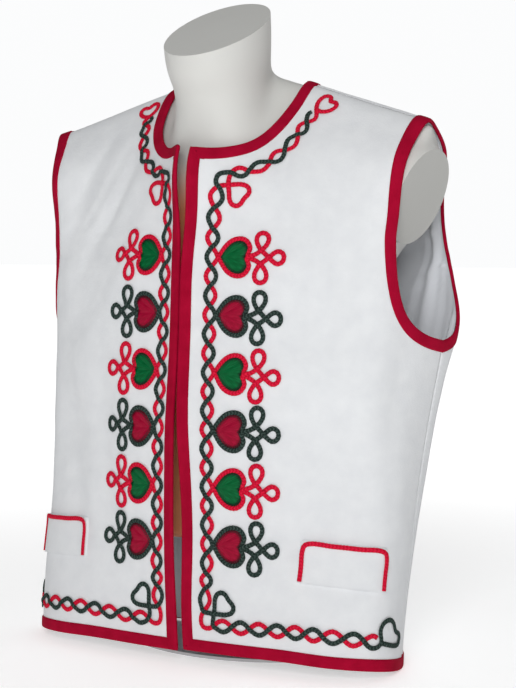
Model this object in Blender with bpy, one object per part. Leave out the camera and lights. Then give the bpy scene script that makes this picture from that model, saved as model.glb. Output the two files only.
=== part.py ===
"""Embroidered folk vest of white wool felt, on a limbless dress form with a post and a base plate.

Axes: +X is the wearer's left, the wearer faces -Y, +Z is up, and the origin is under the base plate.
A garment surface runs from the centre front round the side to the centre back. "Across" is the distance
along that ring and "up" the distance from the hem to the shoulder seam, both in millimetres of cloth.
Tables are in millimetres. MM turns them into metres.
"""

import math

import bmesh
import bpy
import numpy as np
from mathutils import Vector
from mathutils.bvhtree import BVHTree
from mathutils.geometry import delaunay_2d_cdt

MM = 0.001

# Driving sizes, in millimetres
HEM_HEIGHT = 16.0
WALL = 2.2
SEAM_GAP = 0.3
BINDING_WIDTH = 14.0
BINDING_WALL = 1.2
BINDING_GAP = 0.3
LINING_GAP = 0.5
LINING_WALL = 1.0
BACK_HEM_DROP = 9.0

CHAIN_SWING = 5.9
CHAIN_HEM_PITCH = 20.25
CHAIN_FRONT_WAVES = 22
CHAIN_AT_HEM = 32.2
CHAIN_LEAN = 0.0095
CHAIN_BOTTOM = 31.5
CHAIN_TOP = 499.0
CHAIN_TOP_ACROSS = 28.5
CORD_WIDTH = 4.4
CORD_HEIGHT = 1.9
CORD_GAP = 0.4
CORD_LIFT = 2.4

MOTIF_PITCH = 60.1
MOTIF_FIRST_UP = 113.7
MOTIF_COUNT = 6
HEART_LENGTH = 34.5
HEART_HALF_HEIGHT = 18.8
HEART_PLATE = 1.2

WELT_HEIGHT = 44.0
WELT_WIDTH = 90.0
WELT_WALL = 2.2
WELT_UP = 86.0
WELT_ACROSS = 133.3
WELT_TURN = -0.078

FRONT_SPACING = 25.0
BACK_SPACING = 36.0
FIELD_ROWS = (30.0, 66.0, 104.0, 142.0, 180.0, 218.0, 256.0, 294.0, 328.0, 360.0, 394.0, 430.0, 466.0, 500.0, 530.0,
              556.0, 578.0, 597.0, 613.0, 627.0, 639.0)
LINING_INSET = 0.8
MOTIF_TIP = 8.0
CHAIN_PHASES = (0.14, 0.5, 0.86)
LIFT_REACH = 4.2

# Places across the garment ring, from the centre front (5) to the side seam and the centre back
FRONT_ACROSS = (5.0, 40.0, 80.0, 125.0, 170.0, 212.0)
SIDE_ACROSS = 280.0
BACK_ACROSS = (348.0, 390.0, 435.0, 480.0, 520.0, 560.0)
BACK_CENTRE = 560.0
RIDGE_UP = 651.0

# Front sections: how far the cloth stands forward of the shoulder line at x = 5, 40, 80, 125 and 170,
# and the turn of the section towards the side
FRONT_COLUMNS = ("up", "height", "tilt", "at_5", "at_40", "at_80", "at_125", "at_170", "turn_x", "turn_forward")
FRONT_ROWS = (
    (0, 4.5, 0.00, 114.5, 114.0, 111.5, 107.0, 100.0, 209, 76.0),
    (40, 40.0, 0.00, 114.5, 113.5, 111.0, 106.0, 98.0, 209, 73.0),
    (108, 108.0, 0.00, 111.5, 110.0, 105.5, 97.5, 85.5, 208, 62.0),
    (170, 170.0, 0.00, 111.0, 109.5, 104.0, 94.0, 79.5, 207, 57.0),
    (232, 232.0, 0.00, 110.0, 108.0, 102.0, 90.5, 74.5, 206, 54.0),
    (290, 290.0, 0.00, 104.5, 103.0, 98.0, 89.0, 75.0, 206, 51.5),
    (345, 345.0, 0.00, 100.5, 98.5, 93.5, 83.5, 69.0, 206, 48.0),
    (400, 400.0, 0.02, 97.5, 95.0, 89.5, 78.5, 62.5, 206, 46.5),
    (455, 456.0, 0.12, 98.5, 88.0, 79.0, 69.0, 57.5, 206, 46.0),
    (529, 528.7, 0.32, 101.0, 76.0, 63.5, 57.0, 51.0, 208, 43.5),
    (574, 569.7, 0.32, 75.0, 52.0, 39.0, 39.0, 40.0, 211, 40.5),
    (616, 604.7, 0.32, 40.0, 22.0, 13.0, 15.5, 18.5, 213, 22.0),
    (651, 626.7, 0.32, -5.0, -12.0, -12.3, -9.0, -4.7, 214, 0.0),
)

# Back sections: how far the cloth stands behind the shoulder line at x = 0, 40, 80, 125 and 170
BACK_COLUMNS = ("up", "height", "tilt", "at_0", "at_40", "at_80", "at_125", "at_170", "turn_x", "turn_behind")
BACK_ROWS = (
    (0, 4.5, 0.00, 39.0, 39.0, 38.5, 37.0, 31.0, 194, 13.0),
    (40, 40.0, 0.00, 46.0, 46.0, 45.0, 43.0, 37.0, 195, 19.0),
    (108, 108.0, 0.00, 60.0, 60.0, 58.5, 55.5, 49.0, 199, 31.0),
    (170, 170.0, 0.00, 72.0, 72.0, 70.5, 67.0, 60.0, 204, 42.0),
    (232, 232.0, 0.00, 85.0, 85.0, 83.0, 79.0, 71.0, 209, 52.0),
    (290, 290.0, 0.00, 98.0, 98.0, 96.0, 92.0, 84.0, 214, 66.0),
    (345, 345.0, 0.00, 108.0, 108.0, 106.0, 102.0, 95.0, 219, 80.0),
    (400, 405.0, 0.05, 116.0, 116.0, 114.0, 110.0, 104.0, 209, 95.0),
    (455, 467.0, 0.21, 108.0, 109.0, 109.5, 107.0, 102.0, 207, 95.0),
    (529, 541.0, 0.26, 84.0, 85.5, 88.0, 90.0, 89.0, 206, 85.5),
    (574, 578.0, 0.24, 60.0, 62.0, 67.0, 69.0, 68.0, 214, 65.5),
    (616, 612.0, 0.285, 36.0, 39.0, 45.0, 43.0, 38.5, 214, 33.5),
    (651, 626.7, 0.32, 8.0, 12.0, 12.3, 9.0, 4.7, 214, 0.0),
)

# Side seam, and above the underarm the empty armhole that the sections close across
SIDE_COLUMNS = ("up", "height", "x", "behind")
SIDE_ROWS = (
    (0, 4.5, 209.0, -13.0),
    (40, 40, 209.5, -8.0),
    (108, 108, 213.5, 2.0),
    (170, 170, 218.0, 9.0),
    (232, 232, 224.0, 18.0),
    (290, 290, 230.5, 26.5),
    (345, 345, 236.0, 31.0),
    (400, 395, 238.0, 33.0),
    (455, 430, 238.0, 28.0),
    (529, 470, 236.0, 22.0),
    (574, 510, 238.0, 12.0),
    (616, 538, 240.0, 2.0),
    (651, 550, 242.0, -3.0),
)

# Centre front edges: the left edge's x, the right edge's distance past the centre, and how far each
# edge is pushed forward of its section
EDGE_COLUMNS = ("up", "left_x", "left_push", "right_x", "right_push")
EDGE_ROWS = (
    (0, 4.0, 0.0, 5.0, 1.0),
    (50, 3.0, 0.0, 6.5, 3.0),
    (105, 1.5, 1.0, 8.0, 7.0),
    (180, 1.0, 3.0, 7.0, 8.5),
    (250, -1.0, 6.0, 6.0, 9.0),
    (345, -0.5, 7.0, 5.0, 9.0),
    (416, -0.5, 5.0, 5.0, 9.0),
    (472, 3.0, 2.0, 5.5, 10.0),
    (529, 6.0, 0.0, 6.0, 6.0),
)
PUSH_REACH = 34.0

# Trim lines, as (across, up)
FRONT_NECK = ((21.0, 534.5), (36.0, 543.0), (51.0, 556.0), (65.0, 577.0), (74.7, 600.0), (81.5, 627.0),
              (84.5, RIDGE_UP))
BACK_NECK = ((BACK_CENTRE, 570.0), (536.0, 571.0), (514.0, 577.0), (494.0, 592.0), (481.0, 618.0), (476.0, RIDGE_UP))
SHOULDER_END = 238.0
FRONT_ARMHOLE = ((234.0, 631.0), (227.0, 605.0), (223.0, 578.0), (221.5, 545.0), (220.5, 496.0), (220.5, 416.0),
                 (226.0, 377.0), (238.0, 352.0), (255.0, 336.0), (SIDE_ACROSS, 328.0))
BACK_SHOULDER_END = 325.0
BACK_ARMHOLE = ((SIDE_ACROSS, 328.0), (302.0, 336.0), (320.0, 352.0), (331.0, 374.0), (336.0, 400.0), (338.0, 455.0),
                (338.0, 520.0), (335.0, 577.0), (330.0, 616.0), (BACK_SHOULDER_END, RIDGE_UP))

# The chain's middle beside the neck, from the corner above the hearts to the shoulder
CHAIN_NECK = ((CHAIN_TOP_ACROSS, CHAIN_TOP), (42.4, 509.0), (61.5, 520.9), (77.3, 537.1), (89.9, 556.3), (99.2, 576.2),
              (105.0, 595.0), (109.5, 612.3))
CHAIN_NECK_WAVES = 6
CHAIN_HEM_WAVES = 8

# A corner of the chain, from the hem or neck side to the front side, as (along, inward) from the corner:
# one braid loops into a heart, the other rounds the outside
CORNER_LOOP = ((11.3, 5.6), (11.7, 9.8), (12.3, 19.0), (13.0, 26.0), (16.0, 32.5), (20.6, 34.8), (26.5, 32.0),
               (30.0, 26.0), (34.5, 24.0), (36.2, 19.5), (33.5, 14.8), (27.0, 13.3), (19.0, 13.0),
               (5.5, 13.0))
CORNER_OUTSIDE = ((5.0, -2.4), (0.0, -2.8), (-4.2, 0.8), (-5.6, 6.0), (-3.8, 10.5))
CORNER_CROSSING = 12.0
CORNER_BELOW_FRONT = 12.2
CORNER_ABOVE_FRONT = 14.6
CORNER_TURN = 0.25
HEM_HEART = (8.0, -1.0, 1.05, 20.0, 9.5)
NECK_HEART = (0.0, 0.0, 0.80, 22.0, 10.0)

# Dress form: the torso's sections as (up, scale, inset from the cloth's face), and the neck's ovals as
# (height, middle, half width, half depth, slope)
FORM_ACROSS = (0.0, 30.0, 62.0, 98.0, 138.0, 178.0, 208.0, 234.0, 257.0, 280.0, 303.0, 326.0, 352.0, 382.0, 422.0,
               468.0, 514.0, 560.0)
FORM_ROWS = ((107.0, 0.77, 8.0), (170.0, 0.76, 8.0), (232.0, 0.76, 8.0), (300.0, 0.80, 8.0), (360.0, 0.83, 8.0),
             (410.0, 0.86, 8.0), (450.0, 0.96, 8.0), (490.0, 1.0, 8.0), (529.0, 1.0, 8.0), (560.0, 1.0, 7.5),
             (590.0, 1.0, 7.0), (615.0, 1.0, 6.4), (631.0, 1.0, 5.7))
RIDGE_DROP = 5.1
STUB_TOP_X = 236.5
STUB_FOOT_X = 205.0
STUB_FOOT_UP = 427.0
STUB_SLOPE = 0.41
NECK_ROWS = ((500.0, -18.0, 56.0, 50.0, 0.0), (545.0, -22.0, 59.0, 60.0, 0.0), (580.0, -26.0, 58.5, 60.5, 0.1),
             (606.0, -30.0, 57.0, 60.0, 0.25), (632.0, -33.5, 56.0, 59.8, 0.42), (652.0, -36.0, 55.5, 60.0, 0.55),
             (656.5, -36.5, 54.0, 58.5, 0.57))
NECK_SIDES = 24
POST_RADIUS = 18.0
POST_SIDES = 16
BASE_HALF_WIDTH = 130.0
BASE_HALF_DEPTH = 85.0
BASE_THICKNESS = 5.0
BASE_SIDES = 28

# Soft folds as troughs between two places, for the wearer's right and left fronts
FOLD_COLUMNS = ("side", "across_0", "up_0", "across_1", "up_1", "depth", "half_width")
FOLDS = (
    (-1, 95.0, 560.0, 150.0, 400.0, 2.5, 17.0),
    (-1, 75.0, 500.0, 165.0, 330.0, 2.0, 20.0),
    (-1, 150.0, 585.0, 195.0, 430.0, 2.0, 18.0),
    (-1, 190.0, 330.0, 175.0, 210.0, 2.0, 18.0),
    (1, 232.0, 345.0, 205.0, 150.0, 3.0, 20.0),
    (1, 160.0, 560.0, 195.0, 430.0, 1.5, 20.0),
)


def rgb(red, green, blue):
    """A linear colour from 0-255 display values."""
    return tuple((value / 255.0) ** 2.2 for value in (red, green, blue)) + (1.0,)


WHITE_FELT = ("white_felt", rgb(228, 229, 231), 0.95, 0.0)
LINING_CLOTH = ("lining_cloth", rgb(222, 224, 230), 0.5, 0.0)
CRIMSON_FELT = ("crimson_felt", rgb(165, 8, 45), 0.9, 0.0)
RED_CORD = ("red_cord", rgb(220, 22, 45), 0.8, 0.0)
GREEN_CORD = ("green_cord", rgb(36, 66, 56), 0.8, 0.0)
GREEN_SATIN = ("green_satin", rgb(0, 108, 50), 0.45, 0.0)
FORM_SHELL = ("form_shell", rgb(214, 213, 209), 0.6, 0.0)
BASE_METAL = ("base_metal", rgb(200, 200, 200), 0.4, 0.8)


def clear_scene():
    for item in list(bpy.data.objects):
        bpy.data.objects.remove(item, do_unlink=True)


def material(finish):
    name, colour, roughness, metallic = finish
    made = bpy.data.materials.get(name)
    if made is None:
        made = bpy.data.materials.new(name)
        made.use_nodes = True
        shader = made.node_tree.nodes["Principled BSDF"]
        shader.inputs["Base Color"].default_value = colour
        shader.inputs["Roughness"].default_value = roughness
        shader.inputs["Metallic"].default_value = metallic
        made.diffuse_color = colour
    return made


def add_solid(name, points, faces, finish):
    """One closed mesh from points in millimetres, with its faces turned out."""
    mesh = bpy.data.meshes.new(name)
    mesh.from_pydata([tuple(point * MM) for point in np.asarray(points)], [], faces)
    work = bmesh.new()
    work.from_mesh(mesh)
    bmesh.ops.triangulate(work, faces=[face for face in work.faces if len(face.verts) > 4])
    bmesh.ops.recalc_face_normals(work, faces=work.faces)
    work.to_mesh(mesh)
    work.free()
    mesh.materials.append(material(finish))
    mesh.shade_smooth()
    mesh.set_sharp_from_angle(angle=math.radians(35))
    solid = bpy.data.objects.new(name, mesh)
    bpy.context.scene.collection.objects.link(solid)
    return solid


def unit(vector):
    return vector / np.linalg.norm(vector)


class Spline:
    """Weights of a natural cubic spline through values given at known places."""

    def __init__(self, places):
        self.places = np.array(places, float)
        self.steps = np.diff(self.places)
        count = len(places)
        left = np.eye(count)
        right = np.zeros((count, count))
        for i in range(1, count - 1):
            before, after = self.steps[i - 1], self.steps[i]
            left[i, i - 1:i + 2] = (before / 6, (before + after) / 3, after / 6)
            right[i, i - 1:i + 2] = (1 / before, -1 / before - 1 / after, 1 / after)
        self.bend = np.linalg.solve(left, right)

    def weights(self, place):
        i = int(np.clip(np.searchsorted(self.places, place) - 1, 0, len(self.steps) - 1))
        step = self.steps[i]
        low = (self.places[i + 1] - place) / step
        high = 1.0 - low
        result = ((low ** 3 - low) * self.bend[i] + (high ** 3 - high) * self.bend[i + 1]) * step ** 2 / 6
        result[i] += low
        result[i + 1] += high
        return result


def named_rows(columns, rows):
    return [dict(zip(columns, row)) for row in rows]


def section_ring(front, side, back):
    """The points of one section from the centre front round to the centre back."""
    ring = []
    for x, key in zip(FRONT_ACROSS, ("at_5", "at_40", "at_80", "at_125", "at_170")):
        ring.append((x, -front[key], front["height"] - front["tilt"] * x))
    turn = front["turn_x"]
    ring.append((turn, -front["turn_forward"], front["height"] - front["tilt"] * turn))
    ring.append((side["x"], side["behind"], side["height"]))
    turn = back["turn_x"]
    ring.append((turn, back["turn_behind"], back["height"] - back["tilt"] * turn))
    for x, key in zip((170.0, 125.0, 80.0, 40.0, 0.0), ("at_170", "at_125", "at_80", "at_40", "at_0")):
        ring.append((x, back[key], back["height"] - back["tilt"] * x))
    return ring


def garment_net():
    """All sections, with one more past the shoulder seam so that the ridge is round."""
    fronts = named_rows(FRONT_COLUMNS, FRONT_ROWS)
    sides = named_rows(SIDE_COLUMNS, SIDE_ROWS)
    backs = named_rows(BACK_COLUMNS, BACK_ROWS)
    rings = [section_ring(front, side, back) for front, side, back in zip(fronts, sides, backs)]
    rings.append(list(reversed(rings[-2])))
    net = np.array(rings, float)
    drop = np.zeros(net.shape[:2])
    back_part = np.array(FRONT_ACROSS + (SIDE_ACROSS,) + BACK_ACROSS) > SIDE_ACROSS
    for row, up in enumerate((0.0, 40.0, 108.0)):
        share = 1.0 - (net[row, :, 0] / 209.0) ** 2
        drop[row] = BACK_HEM_DROP * share * back_part * (1.0 - up / 108.0)
    net[:, :, 2] += HEM_HEIGHT - drop
    return net


class Garment:
    """Half of the garment's outer surface, mirrored and folded for one side of the body."""

    def __init__(self, side):
        self.side = side
        self.net = garment_net()
        self.across = Spline(FRONT_ACROSS + (SIDE_ACROSS,) + BACK_ACROSS)
        self.up = Spline([row[0] for row in FRONT_ROWS] + [RIDGE_UP + 35.0])
        self.edge = Spline([row[0] for row in EDGE_ROWS])
        self.edges = named_rows(EDGE_COLUMNS, EDGE_ROWS)
        self.folds = [fold for fold in named_rows(FOLD_COLUMNS, FOLDS) if fold["side"] == side]

    def edge_value(self, key, up):
        values = np.array([row[key] for row in self.edges])
        return float(self.edge.weights(min(up, EDGE_ROWS[-1][0])) @ values)

    def edge_x(self, up):
        key = "left_x" if self.side > 0 else "right_x"
        return self.edge_value(key, up) + BINDING_WALL + BINDING_GAP

    def base(self, across, up):
        point = np.tensordot(self.up.weights(up), self.net, axes=(0, 0))
        return self.across.weights(across) @ point

    def forward(self, across, up):
        """How far the cloth moves out of its section: the pushed front edge, less the folds."""
        if across > SIDE_ACROSS:
            return 0.0
        key = "left_push" if self.side > 0 else "right_push"
        reach = max(0.0, 1.0 - across / PUSH_REACH)
        moved = self.edge_value(key, up) * reach ** 2
        for fold in self.folds:
            start = np.array((fold["across_0"], fold["up_0"]))
            run = np.array((fold["across_1"], fold["up_1"])) - start
            offset = np.array((across, up)) - start
            along = float(np.clip(offset @ run / (run @ run), 0.0, 1.0))
            away = float(np.linalg.norm(offset - along * run)) / fold["half_width"]
            moved -= fold["depth"] * math.exp(-away ** 2) * math.sin(math.pi * (0.15 + 0.7 * along))
        return moved

    def frame(self, across, up):
        """The point on the cloth's outer face, its outward normal, and the two directions there."""
        def place(a, b):
            step = 0.5
            here = self.base(a, b)
            along = self.base(a + step, b) - self.base(a - step, b)
            rise = self.base(a, b + step) - self.base(a, b - step)
            return here + unit(np.cross(along, rise)) * self.forward(a, b)

        step = 0.5
        point = place(across, up)
        along = (place(across + step, up) - place(across - step, up)) / (2 * step)
        rise = (place(across, up + step) - place(across, up - step)) / (2 * step)
        normal = unit(np.cross(along, rise))
        if self.side < 0:
            mirror = np.array((-1.0, 1.0, 1.0))
            return point * mirror, normal * mirror, along * mirror, rise * mirror
        return point, normal, along, rise

    def walk(self, place, direction, distance, steps=3):
        """The place reached by going the distance over the cloth, from a place and a direction in space."""
        place = np.array(place, float)
        for _ in range(steps):
            _, normal, along, rise = self.frame(*place)
            flat = direction - (direction @ normal) * normal
            move, *_ = np.linalg.lstsq(np.column_stack((along, rise)), flat * distance / steps, rcond=None)
            place = place + move
        return place


def smooth_line(places, count):
    """Even points on a smooth line through the places; the ends stay."""
    places = np.array(places, float)
    lengths = np.concatenate(([0.0], np.cumsum(np.linalg.norm(np.diff(places, axis=0), axis=1))))
    line = Spline(lengths)
    return [line.weights(length) @ places for length in np.linspace(0.0, lengths[-1], count)]


class Run:
    """A bound edge of a panel: the edge line, and the line at the binding's width inside it."""

    def __init__(self, garment, places, inside, ends):
        self.garment = garment
        self.places = [np.array(place, float) for place in places]
        frames = [garment.frame(*place) for place in self.places]
        self.points = [frame[0] for frame in frames]
        self.normals = [frame[1] for frame in frames]
        self.inward = []
        for i, normal in enumerate(self.normals):
            sides = []
            for a, b in ((i - 1, i), (i, i + 1)):
                if a >= 0 and b < len(self.points):
                    tangent = unit(self.points[b] - self.points[a])
                    sides.append(unit(np.cross(normal, tangent)) * inside)
            total = sum(sides)
            self.inward.append(total / (1.0 + sides[0] @ sides[1]) if len(sides) == 2 else total)
        self.inner = [garment.walk(place, inward, BINDING_WIDTH)
                      for place, inward in zip(self.places, self.inward)]
        self.inner[0] = np.array(ends[0], float)
        self.inner[-1] = np.array(ends[1], float)
        inner_frames = [garment.frame(*place) for place in self.inner]
        self.inner_points = [frame[0] for frame in inner_frames]
        self.inner_normals = [frame[1] for frame in inner_frames]
        for end in (0, -1):
            self.inward[end] = unit(self.inner_points[end] - self.points[end])


def triangulated(outline, spacing):
    """Places and triangles that fill an outline, with staggered rows of places inside it."""
    ring = np.array(outline)
    run = np.roll(ring, -1, axis=0) - ring
    places = list(ring)
    low, high = ring[:, 0].min(), ring[:, 0].max()
    for row, up in enumerate(FIELD_ROWS):
        across = spacing * math.floor(low / spacing) + (spacing / 2 if row % 2 else 0.0)
        while across < high:
            point = np.array((across, up))
            crossing = (ring[:, 1] > up) != (ring[:, 1] + run[:, 1] > up)
            rise = np.where(crossing, run[:, 1], 1.0)
            hits = ring[:, 0] + (up - ring[:, 1]) * run[:, 0] / rise
            inside = np.count_nonzero(crossing & (hits > across)) % 2 == 1
            share = np.clip(((point - ring) * run).sum(axis=1) / (run * run).sum(axis=1), 0.0, 1.0)
            nearest = np.linalg.norm(point - ring - share[:, None] * run, axis=1).min()
            if inside and nearest > 8.0:
                places.append(point)
            across += spacing
    count = len(ring)
    edges = [(i, (i + 1) % count) for i in range(count)]
    result = delaunay_2d_cdt([tuple(place) for place in places], edges, [], 1, 1e-4)
    triangles, kept = result[2], result[3]
    return places, [tuple(kept[v][0] for v in triangle) for triangle in triangles]


def walls(outer, inner, faces):
    """A closed wall between an outer and an inner copy of the same faces."""
    count = len(outer)
    solid = [tuple(face) for face in faces]
    solid += [tuple(reversed([v + count for v in face])) for face in faces]
    edges = {}
    for face in faces:
        for a, b in zip(face, face[1:] + face[:1]):
            edges[(a, b)] = edges.get((a, b), 0) + 1
    for a, b in edges:
        if (b, a) not in edges:
            far = max(a, b) + count
            solid += [(b, a, far), (min(a, b), min(a, b) + count, far) if a < b else
                      (min(a, b), far, min(a, b) + count)]
    return list(outer) + list(inner), solid


def consistent(face, places):
    """The face with its places in counter-clockwise order across and up."""
    a, b, c = (places[v] for v in face)
    area = (b[0] - a[0]) * (c[1] - a[1]) - (b[1] - a[1]) * (c[0] - a[0])
    return face if area > 0 else (face[0], face[2], face[1])


class Cover:
    """A laid surface that trims can be seated on: its faces as built, not the smooth cloth."""

    def __init__(self, garment, points, faces):
        self.garment = garment
        self.tree = BVHTree.FromPolygons(np.asarray(points).tolist(), faces)

    def seat(self, place, height=0.0):
        """A point over the cover's own faces, this high above them."""
        point, normal, _, _ = self.garment.frame(*place)
        hit = self.tree.ray_cast(Vector(point + normal * 8.0), Vector(-normal), 30.0)[0]
        base = np.array(hit) if hit is not None else point
        return base + normal * height

    def height(self, point, normal):
        """How far a point lies above the cover's own faces."""
        distance = self.tree.ray_cast(Vector(point + normal * 8.0), Vector(-normal), 30.0)[3]
        return 8.0 if distance is None else distance - 8.0

    def settled(self, points, normals, floor_height, links):
        """The points raised along their normals until nothing between linked points lies too low."""
        rises = np.zeros(len(points))
        for a, b in links:
            for share in (0.0, 0.25, 0.5, 0.75, 1.0):
                lack = floor_height - self.height(points[a] + (points[b] - points[a]) * share, normals[a])
                rises[a], rises[b] = max(rises[a], lack), max(rises[b], lack)
        return rises


class Field(Cover):
    """The places and faces of a panel: a strip under each binding, and a filled field inside."""

    def __init__(self, garment, runs, seams, spacing):
        self.garment = garment
        self.places = []
        self.numbers = {}
        strips = []
        outline = []
        for run, seam in zip(runs, seams):
            outline += run.inner + seam
            for i in range(len(run.places) - 1):
                a, b = self.number(run.places[i]), self.number(run.places[i + 1])
                c, d = self.number(run.inner[i + 1]), self.number(run.inner[i])
                strips += [(a, b, c), (a, c, d)]
        filling, triangles = triangulated(outline, spacing)
        inside = [tuple(self.number(filling[v]) for v in triangle) for triangle in triangles]
        self.strips = [consistent(face, self.places) for face in strips]
        self.inside = [consistent(face, self.places) for face in inside]
        frames = [garment.frame(*place) for place in self.places]
        self.points = np.array([frame[0] for frame in frames])
        self.normals = np.array([frame[1] for frame in frames])
        centred = [i for i, place in enumerate(self.places) if abs(place[0] - BACK_CENTRE) < 0.01]
        self.points[centred, 0] = 0.0
        self.normals[centred, 0] = 0.0
        super().__init__(garment, self.points, self.strips + self.inside)

    def number(self, place):
        key = (round(float(place[0]), 3), round(float(place[1]), 3))
        if key not in self.numbers:
            self.numbers[key] = len(self.places)
            self.places.append(np.array(place, float))
        return self.numbers[key]

    def wall(self, top, bottom, faces):
        """The points and faces of a wall between two depths under the cloth's outer face."""
        outer = self.points - self.normals * top
        inner = self.points - self.normals * bottom
        return walls(outer, inner, faces)


def mirrored_whole(points, faces):
    """Both halves of a piece that crosses the centre back, sharing the points there."""
    points = [np.array(point) for point in points]
    partner = []
    whole = list(points)
    for i, point in enumerate(points):
        if abs(point[0]) < 0.001:
            partner.append(i)
        else:
            partner.append(len(whole))
            whole.append(point * np.array((-1.0, 1.0, 1.0)))
    on_line = [abs(point[0]) < 0.001 for point in points]
    kept = [face for face in faces if not all(on_line[v] for v in face)]
    other = [tuple(partner[v] for v in reversed(face)) for face in kept]
    return whole, kept + other


def without_loose(points, faces):
    """The points that faces use, renumbered."""
    used = sorted({v for face in faces for v in face})
    index = {v: i for i, v in enumerate(used)}
    return [points[v] for v in used], [tuple(index[v] for v in face) for face in faces]


def binding_rings(run, first, last):
    """Sections of a channel of felt over the cloth's edge, on the stations of the strip beneath it."""
    gap = BINDING_GAP
    far = BINDING_GAP + BINDING_WALL
    rings = []
    for i in range(first, last + 1):
        edge, edge_normal = run.points[i], run.normals[i]
        border, border_normal = run.inner_points[i], run.inner_normals[i]
        away = -run.inward[i]
        rings.append(np.array((
            border + border_normal * gap,
            edge + edge_normal * gap + away * gap,
            edge - edge_normal * (WALL + gap) + away * gap,
            border - border_normal * (WALL + gap),
            border - border_normal * (WALL + far),
            edge - edge_normal * (WALL + far) + away * far,
            edge + edge_normal * far + away * far,
            border + border_normal * far,
        )))
    return rings


def drawn_back(ring, towards, distance):
    """The ring with each point moved towards its partner in the next ring."""
    run = towards - ring
    return ring + run * (distance / np.linalg.norm(run, axis=1))[:, None]


def add_channel(name, rings):
    """A binding solid through the rings, its legs split along the diagonals of the strip beneath."""
    rings = list(rings)
    rings[0] = drawn_back(rings[0], rings[1], SEAM_GAP / 2)
    rings[-1] = drawn_back(rings[-1], rings[-2], SEAM_GAP / 2)
    at_edge = (1, 2, 5, 6)
    faces = []
    for ring in range(len(rings) - 1):
        for side in range(8):
            following = (side + 1) % 8
            a, b = ring * 8 + side, ring * 8 + following
            if following in at_edge and side not in at_edge:
                faces += [(a, b, a + 8), (b, b + 8, a + 8)]
            else:
                faces += [(a, b, b + 8), (a, b + 8, a + 8)]
    end = (len(rings) - 1) * 8
    faces += [(0, 1, 6, 7), (1, 2, 5, 6), (2, 3, 4, 5)]
    faces += [(end + 7, end + 6, end + 1, end), (end + 6, end + 5, end + 2, end + 1),
              (end + 5, end + 4, end + 3, end + 2)]
    return add_solid(name, np.concatenate(rings), faces, CRIMSON_FELT)


def seam_line(start, end, count):
    """Places between two ends, without the ends."""
    start, end = np.array(start), np.array(end)
    return [start + (end - start) * (step + 1) / (count + 1) for step in range(count)]


def front_runs(garment):
    """The two bound edges of a front: hem, centre front and neck in one, and the armhole."""
    seam = SIDE_ACROSS - SEAM_GAP / 2
    shoulder = RIDGE_UP - SEAM_GAP
    hem = [(seam, 0.0)]
    hem += [(across, 0.0) for across in (262, 246, 233, 221, 209, 194, 174, 150, 126, 102, 78, 54, 32)]
    ups = [0.0, 22.0] + [50.0 + 35.0 * step for step in range(13)] + [494.0, 512.0, 529.0]
    centre = [(garment.edge_x(up), up) for up in ups]
    neck = smooth_line((centre[-1],) + FRONT_NECK, 14)[1:]
    neck[-1] = np.array((FRONT_NECK[-1][0], shoulder))
    first = Run(garment, hem + centre + neck, -garment.side,
                ((seam, BINDING_WIDTH), (FRONT_NECK[-1][0] + BINDING_WIDTH, shoulder)))
    first.corner = len(hem)
    first.top = len(hem) + len(centre) - 1
    arm = smooth_line(((SHOULDER_END, shoulder),) + FRONT_ARMHOLE, 22)
    arm[-1] = np.array((seam, FRONT_ARMHOLE[-1][1]))
    second = Run(garment, arm, -garment.side,
                 ((SHOULDER_END - BINDING_WIDTH, shoulder), (seam, FRONT_ARMHOLE[-1][1] - BINDING_WIDTH)))
    return first, second


def build_front(garment, label):
    first, second = front_runs(garment)
    shoulder = seam_line(first.inner[-1], second.inner[0], 6)
    side = seam_line(second.inner[-1], first.inner[0], 13)
    field = Field(garment, (first, second), (shoulder, side), FRONT_SPACING)
    add_solid("front_" + label, *field.wall(0.0, WALL, field.strips + field.inside), WHITE_FELT)
    last = len(first.places) - 1
    add_channel("binding_hem_" + label, binding_rings(first, 0, first.corner))
    add_channel("binding_front_" + label, binding_rings(first, first.corner, first.top))
    add_channel("binding_neck_" + label, binding_rings(first, first.top, last))
    add_channel("binding_armhole_front_" + label, binding_rings(second, 0, len(second.places) - 1))
    return field, first


def back_runs(garment):
    """The bound edges of half of the back: hem, neck and armhole."""
    seam = SIDE_ACROSS + SEAM_GAP / 2
    shoulder = RIDGE_UP - SEAM_GAP
    hem_places = [(seam, 0.0)] + [(across, 0.0) for across in (296, 312, 328, 342, 358, 382, 412, 442, 472, 502, 531)]
    hem = Run(garment, hem_places + [(BACK_CENTRE, 0.0)], 1, ((seam, BINDING_WIDTH), (BACK_CENTRE, BINDING_WIDTH)))
    neck_places = smooth_line(BACK_NECK, 10)
    neck_places[-1] = np.array((BACK_NECK[-1][0], shoulder))
    neck = Run(garment, neck_places, 1,
               ((BACK_CENTRE, BACK_NECK[0][1] - BINDING_WIDTH), (BACK_NECK[-1][0] - BINDING_WIDTH, shoulder)))
    arm_places = list(reversed(smooth_line(BACK_ARMHOLE, 21)))
    arm_places[0] = np.array((BACK_SHOULDER_END, shoulder))
    arm_places[-1] = np.array((seam, BACK_ARMHOLE[0][1]))
    arm = Run(garment, arm_places, 1,
              ((BACK_SHOULDER_END + BINDING_WIDTH, shoulder), (seam, BACK_ARMHOLE[0][1] - BINDING_WIDTH)))
    return hem, neck, arm


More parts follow.
